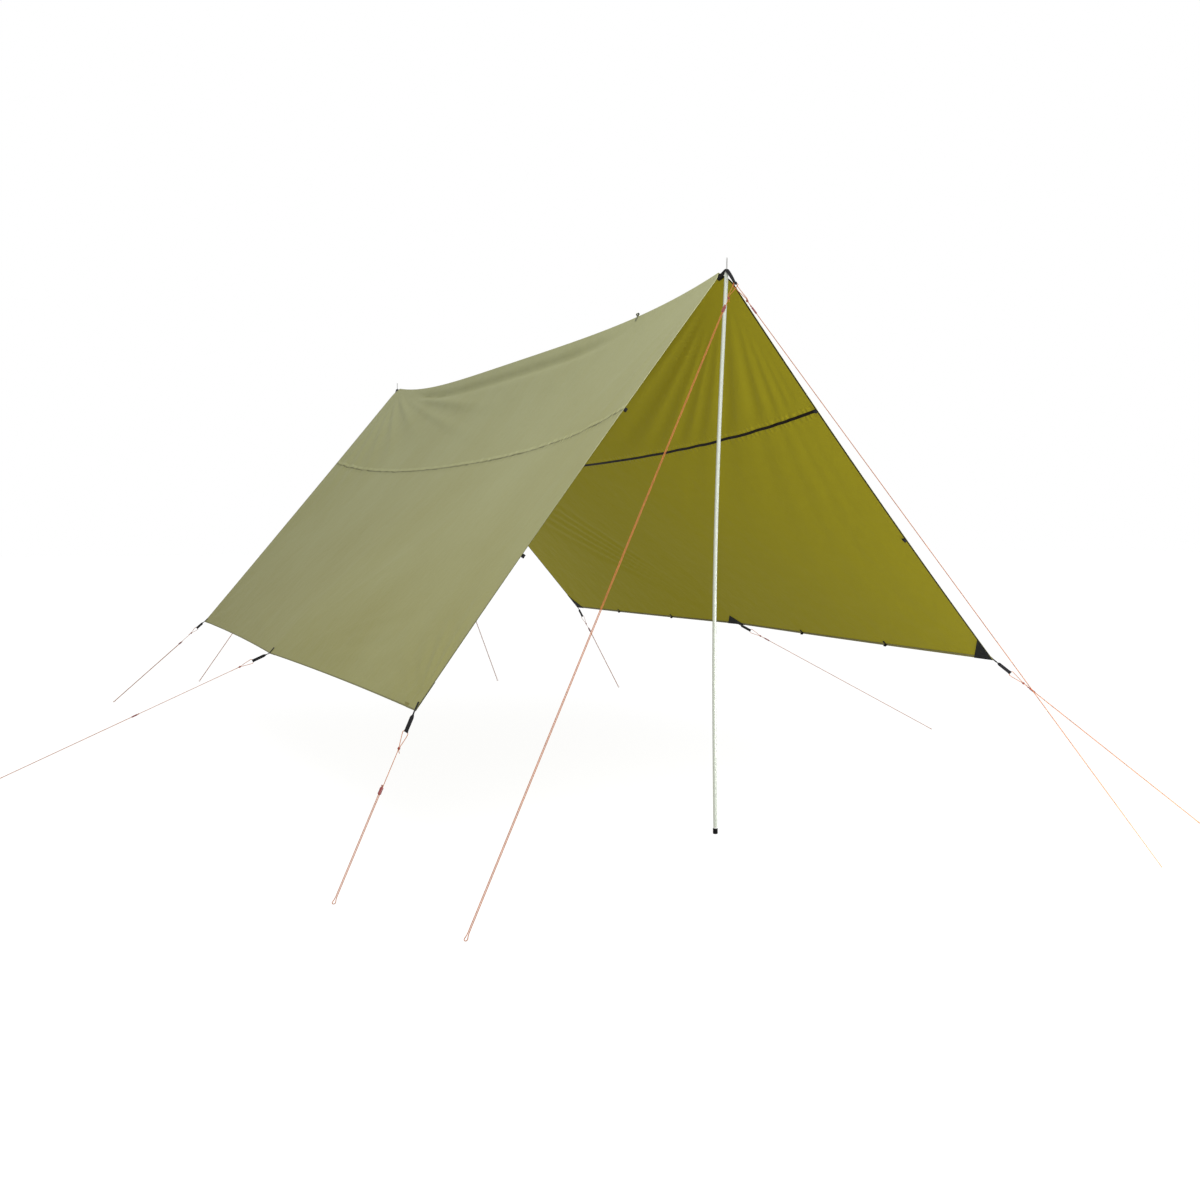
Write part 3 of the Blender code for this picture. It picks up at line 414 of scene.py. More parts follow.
def close_whole():
    """Turn every face of the active piece outward and stop editing."""
    bpy.ops.mesh.select_all(action="SELECT")
    bpy.ops.mesh.normals_make_consistent(inside=False)
    bpy.ops.object.mode_set(mode="OBJECT")


def smooth(degrees):
    """Shade the active piece smooth, but for its sharper bends."""
    bpy.ops.object.shade_smooth_by_angle(angle=math.radians(degrees))


def built(name, points, faces, flat, looks):
    """A piece from points and faces, with a flat place for each corner of a face."""
    mesh = bpy.data.meshes.new(name)
    mesh.from_pydata(points, [], faces)
    marks = mesh.uv_layers.new(name="UVMap")
    for mark, spot in zip(marks.data, flat):
        mark.uv = spot
    for look in looks:
        mesh.materials.append(look.material)
    piece = in_scene(name, mesh)
    hold(piece)
    return piece


def sewn_sheet(name, rows, top, bottom, looks):
    """A sheet that follows the cloth: an upper and a lower skin, and a rim between them."""
    places = [place for row in rows for place in row]
    points = [cloth(u, v, offset) for offset in (top, bottom) for u, v in places]
    flat = [(u * SLOPE, v * RIDGE) for u, v in places] * 2
    long, wide = len(rows), len(rows[0])
    skin = long * wide
    faces, shown = [], []

    def quad(a, b, c, d, look):
        faces.append((a, b, c, d))
        shown.append(min(look, len(looks) - 1))

    for row in range(long - 1):
        for place in range(wide - 1):
            a = row * wide + place
            b, c, d = a + 1, a + wide + 1, a + wide
            quad(a, b, c, d, 0)
            quad(a + skin, d + skin, c + skin, b + skin, 1)
    rim = []
    for place in range(wide - 1):
        last = (long - 1) * wide + place
        rim += [(place + 1, place), (last, last + 1)]
    for a in range(0, skin - wide, wide):
        b = a + wide - 1
        rim += [(a, a + wide), (b + wide, b)]
    for a, b in rim:
        quad(a, b, b + skin, a + skin, 2)
    piece = built(name, points, faces, [flat[point] for face in faces for point in face], looks)
    for face, look in zip(piece.data.polygons, shown):
        face.material_index = look
    open_whole()
    bpy.ops.mesh.remove_doubles(threshold=TOUCHING)
    close_whole()
    smooth(50)
    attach(piece, "tarp")
    return piece


def shaded(colour, share):
    """A colour made darker or lighter."""
    return tuple(part * share for part in colour)


def woven_finish(name, high, low, spread, shine):
    """Coated cloth: fine weave, blotches, puckered seams, a painted sheen that lightens the cloth near
    the ridge, and painted shade and highlight along the seams and the edge folds.
    """
    look = Finish(name, 0.62, shine=shine)
    flat, down, along = look.laid_flat()
    blotch = look.cloud(flat, 1.3, 3.0)
    grain = look.cloud(flat, 60.0)
    # Painted sheen: the colour runs from high near the ridge to low at the hems, mixed with blotches
    # of real tone.
    share = down.size() / SLOPE + (blotch * 0.92 + grain * 0.08 - 0.5) * spread
    off_seam = down.size() - SLOPE * SEAM
    bumps = look.cloud(flat, 26.0, 3.0)
    # Painted shade and highlight of the seam puckers: a patchy dark line along each seam and a lighter
    # band beside it.
    wavy = off_seam + (look.cloud(flat, 16.0) - 0.5) * 0.016
    line = wavy.size().below(0.0045) * ((bumps - 0.3) * 3.0).capped()
    lit = (wavy + 0.014).size().below(0.0095) * ((0.7 - bumps) * 3.0).capped()
    # Painted shade and highlight on the edge folds: thin bands along the front, rear and hem edges are
    # darkened, and the upper part of the front edge is lightened.
    front_fold = along.below(0.007)
    lower = (down.size() / SLOPE * 2.2 - 0.7).capped()
    rear_fold = (RIDGE - along).below(0.008)
    hem_fold = (SLOPE - down.size()).below(0.006)
    painted_fold_shade = (front_fold * lower + rear_fold + hem_fold).capped()
    lit_fold = front_fold * (1 - lower)
    ground = look.mix(share.capped(), high, low)
    # Paint the shade on the seam line and the highlight beside it.
    ground = look.mix(line * 0.9, ground, shaded(low, 0.35))
    ground = look.mix(lit * 0.5, ground, shaded(high, 1.45))
    # Paint the shade on the edge folds, and the highlight on the upper front edge.
    ground = look.mix(painted_fold_shade * 0.6, ground, shaded(low, 0.3))
    look.colour(lit_fold * 0.6, ground, shaded(high, 1.7))
    weave = (down * 5200.0).sine() * (along * 5200.0).sine()
    ripple = look.cloud(flat, 7.0, 3.0, 0.55)
    beside = (1 - off_seam.size() * 28.0).capped()
    pucker = (along * 170.0 + look.cloud(flat, 14.0) * 12.0).sine() * beside
    stitched = off_seam.size().below(0.0009) * 0.9
    height = ripple * 1.4 + weave * 0.003 + pucker * 0.7 - stitched * 0.25
    look.raised(height, 0.006, 0.9)
    return look


# The high colours near the ridge and the low ones towards the hems are painted light: sheen on the
# outer face, and brighter light through the cloth at the top of the inner face.
outer_cloth = woven_finish("olive cloth outside", (0.306, 0.31, 0.156), (0.244, 0.236, 0.088),
                           1.0, 0.15)
# Painted light: the inner face's saturated mustard colours and its glow stand in for daylight shining
# through the cloth. The glow makes the cloth shine though it is no lamp.
inner_cloth = woven_finish("olive cloth inside", (0.215, 0.187, 0.008), (0.185, 0.16, 0.007),
                           0.8, 0.04)
inner_cloth.give("Emission Color", (0.112, 0.099, 0.008))
inner_cloth.give("Emission Strength", 1.0)

columns = [-x for x in reversed(even(SEAM, 1.0, 48)[1:])]
columns += even(-SEAM, SEAM, 84) + even(SEAM, 1.0, 48)[1:]
lengthwise = even(0.0, 0.36, 125) + even(0.36, 1.0, 144)[1:]
canopy = sewn_sheet("canopy_cloth", [[(u, v) for u in columns] for v in lengthwise],
                    CLOTH, 0.0, [outer_cloth, inner_cloth, outer_cloth])
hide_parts("canopy_left_panel", "canopy_ridge_panel", "canopy_right_panel")


# Seam tapes
# Black coated tape is pressed over both seams on the inner face, to keep rain out of
# the needle holes. It puckers a little with the seam.

FIT = 0.0003
TAPE = 0.0008
TAPE_HALF = 0.0065
EDGE_TAPE = 0.007


def tape_finish():
    """Brown-black coated tape, satin, with small creases across it."""
    look = Finish("black seam tape", 0.55, shine=0.06)
    flat, _, along = look.laid_flat()
    blotch = look.cloud(flat, 35.0, 3.0)
    look.colour(blotch, (0.004, 0.002, 0.001), (0.012, 0.007, 0.003))
    look.dulled(blotch * 0.3 + 0.42)
    crease = (along * 420.0 + look.cloud(flat, 30.0) * 8.0).sine() * 0.5 + 0.5
    look.raised(crease * 0.6 + blotch * 0.4, 0.0006, 0.6)
    return look


black_tape = tape_finish()
taped = [EDGE_TAPE / RIDGE + (1 - 2 * EDGE_TAPE / RIDGE) * v for v in lengthwise]
for side in ("left", "right"):
    across = [SIGN[side] * (SEAM + part * TAPE_HALF / SLOPE) for part in even(-1, 1, 4)]
    seam_tape = sewn_sheet(f"pressed_seam_tape_{side}", [[(u, v) for u in across] for v in taped],
                           -FIT, -FIT - TAPE, [black_tape])
    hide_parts(f"seam_tape_{side}")


# Edge bindings and side hems
# Black tape is sewn along the inner side of the front and rear edges. The side hems are
# the cloth itself, turned under and sewn down with two rows of thread.

HEM = 0.016
# Each point of a section: how far in from the edge, and how far out from the cloth
BINDING_SECTION = [(EDGE_TAPE, -0.0003), (EDGE_TAPE, -0.0011), (0.002, -0.0012),
                   (0.0006, -0.001), (0.0001, -0.0003)]
HEM_SECTION = [(HEM, -0.0003), (HEM, -0.0009), (0.002, -0.0011), (0.0005, -0.0009),
               (0.0001, -0.0003)]


def skin_over(rings):
    """The points and faces of a skin from ring to ring, closed at both ends."""
    count = len(rings[0])
    points = [point for ring in rings for point in ring]
    last = len(points) - count
    faces = []
    for start in range(0, last, count):
        for step in range(count):
            a, b = start + step, start + (step + 1) % count
            faces.append((a, b, b + count, a + count))
    faces.append(tuple(reversed(range(count))))
    faces.append(tuple(range(last, len(points))))
    return points, faces


def edge_trim(name, line, section, look):
    """A folded strip: its section is carried along an edge of the cloth."""
    rings, flat = [], []
    run = 0.0
    for u, v, inward_u, inward_v in line:
        ring = [cloth(u + inward_u * reach, v + inward_v * reach, offset) for reach, offset in section]
        if rings:
            run += (ring[0] - rings[-1][0]).length
        rings.append(ring)
        flat += [(reach, run) for reach, offset in section]
    points, faces = skin_over(rings)
    piece = built(name, points, faces, [flat[point] for face in faces for point in face], [look])
    open_whole()
    close_whole()
    smooth(50)
    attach(piece, "tarp")
    return piece


def binding_finish():
    """Black grosgrain binding with fine ribs and one row of thread."""
    look = Finish("black edge binding", 0.7, shine=0.12)
    flat, reach, along = look.laid_flat()
    blotch = look.cloud(flat, 40.0)
    thread = (reach - 0.0052).size().below(0.0003) * (along * 2200.0).sine().above(-0.3)
    share = blotch * 0.6 + thread * 0.4
    look.colour(share, (0.008, 0.007, 0.006), (0.026, 0.024, 0.02))
    look.raised((along * 5000.0).sine() * 0.3 - thread * 0.5 + blotch * 0.4, 0.0004, 0.6)
    return look


def hem_finish():
    """The olive cloth, doubled, with two rows of thread."""
    look = Finish("olive hem cloth", 0.7)
    flat, reach, along = look.laid_flat()
    rows = (reach - 0.014).size().below(0.0004) + (reach - 0.011).size().below(0.0004)
    thread = rows * (along * 2000.0).sine().above(-0.4)
    pucker = (along * 700.0 + look.cloud(flat, 20.0) * 6.0).sine()
    blotch = look.cloud(flat, 12.0)
    base = look.mix(blotch, (0.13, 0.115, 0.016), (0.19, 0.17, 0.026))
    look.colour(thread * 0.6, base, (0.05, 0.05, 0.02))
    look.raised(pucker * 0.4 - thread * 0.4 + blotch * 0.3, 0.0008, 0.6)
    return look


def inside(end, metres):
    """The v of a place that lies some metres inside an end of the cloth."""
    share = metres / RIDGE
    return share if end == "front" else 1 - share


black_binding = binding_finish()
olive_hem = hem_finish()
bound = [u for u in columns if abs(u) < 0.99]
for end in ("front", "rear"):
    line = [(u, inside(end, 0.0), 0.0, -SIGN[end] / RIDGE) for u in bound]
    binding = edge_trim(f"{end}_edge_binding", line, BINDING_SECTION, black_binding)
    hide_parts(f"{end}_edge_tape")
for side in ("left", "right"):
    line = [(SIGN[side], v, -SIGN[side] / SLOPE, 0.0) for v in lengthwise]
    hem = edge_trim(f"{side}_side_hem", line, HEM_SECTION, olive_hem)
    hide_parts(f"{side}_hem")


# Reinforcing patches
# Triangles of black woven cloth are sewn over the corners and the middles of the hems on
# the inner face, and a folded one lies under each end of the ridge.

PATCH_TOP = -0.0014
PATCH_UNDER = -0.0023
CORNER_LEG = 0.12
MID_HALF = 0.095
MID_DEEP = 0.072
APEX_PATCH_NEAR = 0.0079
APEX_PATCH_FAR = 0.055
APEX_PATCH_HALF = 0.014


def patch_finish():
    """Heavy black woven cloth with faint blotches."""
    look = Finish("black patch cloth", 0.75, shine=0.1)
    flat, down, along = look.laid_flat()
    weave = (down * 4200.0).sine() * (along * 4200.0).sine()
    blotch = look.cloud(flat, 25.0, 3.0)
    look.colour(blotch, (0.005, 0.006, 0.005), (0.018, 0.019, 0.016))
    look.dulled(blotch * 0.2 + 0.65)
    look.raised(weave * 0.15 + blotch * 0.6, 0.0008, 0.5)
    return look


def triangle(first, second, third, steps):
    """Rows of places over a three-cornered patch, from one side to its far corner."""
    rows = []
    for row in range(steps + 1):
        t = row / steps
        start = [a + (c - a) * t for a, c in zip(first, third)]
        end = [b + (c - b) * t for b, c in zip(second, third)]
        rows.append([(start[0] + (end[0] - start[0]) * step / steps,
                      start[1] + (end[1] - start[1]) * step / steps) for step in range(steps + 1)])
    return rows


black_patch = patch_finish()


def sew_patch(node, rows, top=PATCH_TOP, under=PATCH_UNDER):
    """A patch on the inner face, in place of the node of its name."""
    patch = sewn_sheet(f"sewn_{node}", rows, top, under, [black_patch])
    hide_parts(node)


for end in ("front", "rear"):
    edge_v, inner_v = inside(end, 0.0), inside(end, CORNER_LEG)
    for side in ("left", "right"):
        hem_u = SIGN[side]
        inner_u = hem_u * (1 - CORNER_LEG / SLOPE)
        sew_patch(f"corner_patch_{end}_{side}",
                  triangle((hem_u, edge_v), (inner_u, edge_v), (hem_u, inner_v), 10))
for side in ("left", "right"):
    hem_u = SIGN[side]
    half = MID_HALF / RIDGE
    tip = (hem_u * (1 - MID_DEEP / SLOPE), 0.5)
    sew_patch(f"mid_patch_{side}", triangle((hem_u, 0.5 - half), (hem_u, 0.5 + half), tip, 10))
across = even(-APEX_PATCH_HALF, APEX_PATCH_HALF, 12)
for end in ("front", "rear"):
    first, last = sorted((inside(end, APEX_PATCH_NEAR), inside(end, APEX_PATCH_FAR)))
    sew_patch(f"apex_patch_{end}", [[(u, v) for u in across] for v in even(first, last, 6)],
              -FIT, -FIT - TAPE)


# Lashing loops
# Sixteen small loops are sewn to the inner face, four along each edge and each hem. Each
# is one flat strip of black ribbed webbing, folded back on itself.

LOOP_WIDE = 0.014
LOOP_THICK = 0.0011


def webbing_finish(name, dark, pale):
    """Ribs across the strip, fine cords along it and two rows of thread."""
    look = Finish(name, 0.72, shine=0.12)
    flat, along, across = look.laid_flat()
    ribs = (along * 4200.0).sine()
    cords = (across * 7000.0).sine()
    blotch = look.cloud(flat, 60.0, 3.0)
    thread = (across.size() - 0.0042).size().below(0.0003) * (along * 2600.0).sine().above(-0.2)
    base = look.mix(blotch, dark, pale)
    look.colour(thread * 0.5, base, shaded(pale, 2.0))
    look.dulled(blotch * 0.2 + 0.6)
    look.raised(ribs * 0.25 + cords * 0.12 + blotch * 0.3 - thread * 0.3, 0.0005, 0.7)
    return look


def applied(piece, kind, **settings):
    """Add a modifier to a piece and apply it."""
    step = piece.modifiers.new("step", kind)
    for key, value in settings.items():
        setattr(step, key, value)
    hold(piece)
    bpy.ops.object.modifier_apply(modifier=step.name)


def bevelled(piece, width, segments, degrees):
    """Round the edges that are sharper than an angle."""
    applied(piece, "BEVEL", width=width, segments=segments, limit_method="ANGLE",
            angle_limit=math.radians(degrees))


def drawn_out(step, scale):
    """Extrude what is selected by a step, then resize it about the origin."""
    bpy.ops.mesh.extrude_region_move(TRANSFORM_OT_translate={"value": step})
    bpy.ops.transform.resize(value=scale, center_override=(0.0, 0.0, 0.0))


def band(name, path, thickness, look):
    """Webbing: a plane squeezed to one edge, then drawn out along (x, y, width)."""
    x, y, width = path[0]
    rest_hand()
    bpy.ops.mesh.primitive_plane_add(size=width)
    piece = bpy.context.object
    piece.name = name
    open_whole()
    bpy.ops.transform.resize(value=(0.0, 1.0, 1.0))
    bpy.ops.mesh.remove_doubles(threshold=TOUCHING)
    bpy.ops.transform.rotate(value=math.pi / 2, orient_axis="X", center_override=(0.0, 0.0, 0.0))
    bpy.ops.transform.translate(value=(x, y, 0.0))
    runs = [0.0]
    for next_x, next_y, next_width in path[1:]:
        step = Vector((next_x - x, next_y - y, 0.0))
        drawn_out(step, (1.0, 1.0, next_width / width))
        runs.append(runs[-1] + step.length)
        x, y, width = next_x, next_y, next_width
    bpy.ops.object.mode_set(mode="OBJECT")
    mesh = piece.data
    marks = mesh.uv_layers.active or mesh.uv_layers.new(name="UVMap")
    for loop in mesh.loops:
        place = loop.vertex_index
        marks.data[loop.index].uv = (runs[place // 2], mesh.vertices[place].co.z)
    mesh.materials.append(look.material)
    applied(piece, "SOLIDIFY", thickness=thickness, offset=0.0)
    bevelled(piece, thickness * 0.2, 2, 50)
    smooth(50)
    return piece


def frame_at(origin, x_axis, y_axis):
    """A placing matrix whose X and Y axes are given, Z follows."""
    x_axis = x_axis.normalized()
    z_axis = x_axis.cross(y_axis).normalized()
    y_axis = z_axis.cross(x_axis)
    placing = Matrix((x_axis, y_axis, z_axis)).transposed().to_4x4()
    placing.translation = origin
    return placing


def copied(piece, name, place, body="tarp"):
    """A copy whose own mesh is moved to its place."""
    copy = in_scene(name, piece.data.copy())
    copy.data.transform(place)
    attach(copy, body)
    return copy


def arc(middle_x, middle_y, reach_x, reach_y, start, end, steps, width):
    """Places along part of an oval, from one angle to another in degrees."""
    turns = [math.radians(start + (end - start) * step / steps) for step in range(steps + 1)]
    return [(middle_x + reach_x * math.cos(turn), middle_y + reach_y * math.sin(turn), width)
            for turn in turns]


black_webbing = webbing_finish("black webbing", (0.005, 0.005, 0.006), (0.015, 0.015, 0.017))
ring_foot = [(0.022, 0.0011, LOOP_WIDE), (0.012, 0.001, LOOP_WIDE), (0.003, 0.001, LOOP_WIDE)]
ring = arc(0.0, 0.0065, 0.0034, 0.0056, -100, -405, 22, LOOP_WIDE)
loop_model = band("loop_model", ring_foot + ring, LOOP_THICK, black_webbing)


def sew_loop(name, u, v, towards_u, towards_v):
    """A lashing loop on the inner face: its foot points to the middle of the cloth."""
    under = -FIT - TAPE / 2
    here = cloth(u, v, under)
    ahead = cloth(u + towards_u, v + towards_v, under) - here
    down = cloth(u, v, under - 0.01) - here
    copied(loop_model, name, frame_at(here, ahead, down))


for end in ("front", "rear"):
    for number, u in enumerate((-2 / 3, -1 / 3, 1 / 3, 2 / 3)):
        sew_loop(f"{end}_lashing_loop_{number + 1}", u, inside(end, EDGE_TAPE / 2),
                 0.0, -SIGN[end] * 0.002)
for side in ("left", "right"):
    hem_middle = SIGN[side] * (1 - HEM / 2 / SLOPE)
    for number, v in enumerate((1 / 6, 2 / 6, 4 / 6, 5 / 6)):
        sew_loop(f"{side}_lashing_loop_{number + 1}", hem_middle, v, -SIGN[side] * 0.005, 0.0)
bpy.data.objects.remove(loop_model)


# Pull straps
# Six straps of doubled webbing are sewn to the outer face, at the corners and at the
# middles of the hems. Each lies on the cloth, leaves it at the edge and holds a guy line.

STRAP = 0.0022
APART = 0.52
STRAP_HOLE = 0.0052
STRAP_REACH = 0.088
ON_PANEL = 0.036
LIFT = 0.002
NECK = 0.009
NECK_LENGTH = 0.014
TURN_LENGTH = 0.018
STRAP_END = 0.014
KNOT_AT = 0.155
GROUND = {"front_left": (-1.572, -2.609), "front_right": (1.855, -2.814),
          "rear_left": (-1.779, 3.08), "rear_right": (1.741, 2.496),
          "mid_left": (-2.508, 0.203), "mid_right": (2.515, -0.233),
          "apex_front_left": (-1.319, -3.147), "apex_front_right": (1.157, -3.294),
          "apex_rear_left": (-1.065, 4.183), "apex_rear_right": (1.069, 3.294)}
HELD = {f"{row}_{side}": (SIGN[side], v) for row, v in (("front", 0.0), ("rear", 1.0), ("mid", 0.5))
        for side in ("left", "right")}


def doubled(line, layer, hole, width_at):
    """One strip laid along a line, round a hole at its end and back under itself."""
    over, under = [], []
    run = 0.0
    for place, spot in enumerate(line):
        before = line[max(place - 1, 0)]
        after = line[min(place + 1, len(line) - 1)]
        heading = (after - before).normalized()
        side = Vector((-heading.y, heading.x)) * layer * APART
        run += (spot - before).length
        over.append((*(spot + side), width_at(run)))
        under.append((*(spot - side), width_at(run)))
    centre = line[-1] + heading * hole / 2
    rim = hole / 2 + layer / 2
    tilt = math.atan2(heading.y, heading.x)
    turn_from = math.pi - math.asin(layer * APART / rim)
    bend = []
    for step in range(17):
        turn = tilt + turn_from * (1 - step / 8)
        bend.append((centre.x + rim * math.cos(turn), centre.y + rim * math.sin(turn),
                     width_at(run + hole)))
    return over[:-1] + bend + under[-2::-1], centre


def strap_width(run):
    """Narrow where it is sewn to the cloth, wider beyond its neck."""
    share = eased((run - ON_PANEL - NECK_LENGTH) / TURN_LENGTH)
    return STRAP_END * (NECK / STRAP_END) ** (1 - share)


def quarter_turned(strap, line, sign):
    """Twist a strap by a quarter turn beyond its neck."""
    for vertex in strap.data.vertices:
        along = vertex.co.dot(line)
        share = eased((along - NECK_LENGTH) / TURN_LENGTH)
        twist = Matrix.Rotation(sign * math.pi / 2 * share, 3, line)
        vertex.co = line * along + twist @ (vertex.co - line * along)


def sew_strap(strap, node, place):
    """Put a strap on the tarp, in place of the node of its name."""
    strap.data.transform(place)
    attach(strap, "tarp")
    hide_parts(node)


ties = {}
for place, (u, v) in HELD.items():
    start = cloth(u, v, CLOTH + FIT + STRAP / 2)
    outward = (cloth(u, v, CLOTH + 0.01) - cloth(u, v, CLOTH)).normalized()
    aim = (Vector((*GROUND[place], 0.0)) - start).normalized()
    level = (aim - outward * aim.dot(outward)).normalized()
    slope = Vector((aim.dot(level), aim.dot(outward)))
    foot = Vector((-ON_PANEL, LIFT))
    straight = [foot.lerp(Vector((-0.004, 0.0)), step / 6) for step in range(7)]
    bend = [Vector((0.0, 0.0)), Vector((0.004, 0.0012 * slope.y / slope.x)), slope * 0.009]
    turning = [slope * (NECK_LENGTH + TURN_LENGTH * step / 8) for step in range(9)]
    free = [slope * 0.062, slope * (STRAP_REACH - STRAP_HOLE)]
    path, centre = doubled(straight + bend + turning + free, STRAP / 2, STRAP_HOLE, strap_width)
    strap = band(f"webbing_pull_strap_{place}", path, STRAP / 2, black_webbing)
    quarter_turned(strap, Vector((*slope, 0.0)), u)
    sew_strap(strap, f"pull_strap_{place}", frame_at(start, level, outward))
    ties[place] = (start, start + level * centre.x + outward * centre.y,
                   aim.cross(level.cross(outward)), STRAP_END / 2, KNOT_AT)


# Apex straps
# Doubled webbing lies under each end of the ridge. Its hole hooks over the pole's spike,
# and its free end holds the two guy lines that stay the pole.

APEX_STRAP = 0.0016
APEX_WIDE = 0.018
TIE_WIDE = 0.012
APEX_LOOP = 0.01
SPIKE_HOLE = 0.0036
POLE_AHEAD = 0.02
APEX_KNOT_AT = 0.08
TAPER_FROM = 0.018
CUP_REACH = 0.045
APEX_FOLD = {"front": ((-0.09, -0.0181), (-0.056, -0.0131)),
             "rear": ((-0.0902, -0.017), (-0.0562, -0.0123))}
LEG = Vector((0.064, -0.066))
ACROSS = Vector((1.0, 0.0, 0.0))
UP = Vector((0.0, 0.0, 1.0))
tops = {end: Vector((0.0, SIGN[end] * (RIDGE / 2 + POLE_AHEAD), APEX[end] - APEX_STRAP / 2))
        for end in ("front", "rear")}


def drilled(piece, radius, depth, turn, place=(0.0, 0.0, 0.0), sides=32):
    """Drill a round hole through a piece."""
    rest_hand()
    bpy.ops.mesh.primitive_cylinder_add(vertices=sides, radius=radius, depth=depth,
                                        location=place, rotation=turn)
    drill = bpy.context.object
    applied(piece, "BOOLEAN", operation="DIFFERENCE", solver="EXACT", object=drill)
    bpy.data.objects.remove(drill)


def creased(strap):
    """Punch the spike's hole, fold the strap's sides down and narrow its free end."""
    drilled(strap, SPIKE_HOLE, 0.03, (math.pi / 2, 0.0, 0.0))
    open_whole()
    bpy.ops.mesh.bisect(plane_co=(0.0, 0.0, 0.0), plane_no=(0.0, 0.0, 1.0))
    bpy.ops.object.mode_set(mode="OBJECT")
    for vertex in strap.data.vertices:
        taper = eased((vertex.co.x - TAPER_FROM) / (LEG.x - TAPER_FROM))
        vertex.co.z *= 1 + (TIE_WIDE / APEX_WIDE - 1) * taper
        fold = 1 - eased((vertex.co.x / CUP_REACH + 1) / 2)
        vertex.co.y -= abs(vertex.co.z) * 0.9 * fold


for end, top in tops.items():
    sign = SIGN[end]
    inner, trimmed = [Vector(spot) for spot in APEX_FOLD[end]]
    hanging = [trimmed * share for share in (0.75, 0.5, 0.25, 0.09)]
    falling = [LEG * share for share in (0.045, 0.15, 0.3, 0.45, 0.6, 0.75, 0.92)]
    crown = [Vector((0.0, trimmed.normalized().y * 0.001))]
    line = [inner, inner.lerp(trimmed, 0.5), trimmed] + hanging + crown + falling
    path, centre = doubled(line, APEX_STRAP / 2, APEX_LOOP, lambda run: APEX_WIDE)
    strap = band(f"webbing_apex_strap_{end}", path, APEX_STRAP / 2, black_webbing)
    creased(strap)
    sew_strap(strap, f"apex_strap_{end}", frame_at(top, Vector((0.0, sign, 0.0)), UP))
    tie = top + Vector((0.0, sign * centre.x, centre.y))
    leg = Vector((0.0, sign * LEG.x, LEG.y)).normalized()
    inward = ACROSS.cross(leg) * -sign
    for side in ("left", "right"):
        start = tie + inward * SIGN[side] * 0.0028
        ties[f"apex_{end}_{side}"] = (start, start, ACROSS, TIE_WIDE / 2, APEX_KNOT_AT)


# Loop on the ridge
# A short webbing loop stands on the ridge, a sixth of the way back. Its feet are sewn
# down both slopes.

RIDGE_LOOP_AT = 1 / 6
RIDGE_LOOP_FOOT = 0.022
RIDGE_LOOP_HOLE = 0.009
seat = CLOTH + FIT + 0.0006
crest = cloth(0.0, RIDGE_LOOP_AT, seat)
feet = []
for sign in (-1, 1):
    foot = cloth(sign * RIDGE_LOOP_FOOT / SLOPE, RIDGE_LOOP_AT, seat) - crest
    feet.append([(foot.x * share, foot.z * share, LOOP_WIDE) for share in (1.0, 0.7, 0.4, 0.15)])
rim = RIDGE_LOOP_HOLE / 2 + 0.0006
path = feet[0] + arc(0.0, rim + 0.0024, rim, rim, 250, -70, 20, LOOP_WIDE) + feet[1][::-1]
grey_webbing = webbing_finish("grey-green webbing", (0.11, 0.115, 0.07), (0.19, 0.2, 0.13))
ridge_loop = band("webbing_ridge_loop", path, LOOP_THICK, grey_webbing)
rearward = cloth(0.0, RIDGE_LOOP_AT + 0.001, seat) - crest
sew_strap(ridge_loop, "ridge_loop", frame_at(crest, ACROSS, ACROSS.cross(rearward)))


# Guy lines
# Ten braided cords, 2.5 mm thick. Each is tied through its strap with an eye and a wrapped
# knot, runs to the ground, turns round the place of a peg and comes back up beside itself.

CORD = 0.00125
STRANDS = 0.0046
GROUND_LOOP = 0.006
RUNNER_LONG = 0.03
RUNNER_AT = {"front_left": 0.322, "front_right": 0.2, "rear_left": 0.294,
             "rear_right": 0.215, "mid_left": 0.695, "mid_right": 0.2,
             "apex_front_left": 0.135, "apex_front_right": 0.125,
             "apex_rear_left": 0.2, "apex_rear_right": 0.165}


def braid_finish(name, dark, pale):
    """A braided sheath: two sets of strands cross round the cord."""
    look = Finish(name, 0.62)
    _, turn, along = look.laid_flat()
    round_way = turn * (2 * math.pi)
    one_way = (round_way * 6.0 + along * 3600.0).sine()
    other_way = (round_way * 6.0 - along * 3600.0).sine()
    braid = (one_way * other_way) * 0.5 + 0.5
    worn = look.cloud(look.in_place(), 30.0)
    look.colour((braid * 0.5 + worn * 0.5).capped(), dark, pale)
    look.raised(braid, 0.0003, 0.7)
    return look


def smoothed(points, steps):
    """A smooth curve through chosen points, with a few steps between each two."""
    made = []
    last = len(points) - 1
    for index in range(last):
        before, start = points[max(index - 1, 0)], points[index]
        end, after = points[index + 1], points[min(index + 2, last)]
        for step in range(steps):
            t = step / steps
            made.append(0.5 * (2 * start + (end - before) * t
                               + (2 * before - 5 * start + 4 * end - after) * t * t
                               + (3 * start - before - 3 * end + after) * t * t * t))
    return made + [points[last]]


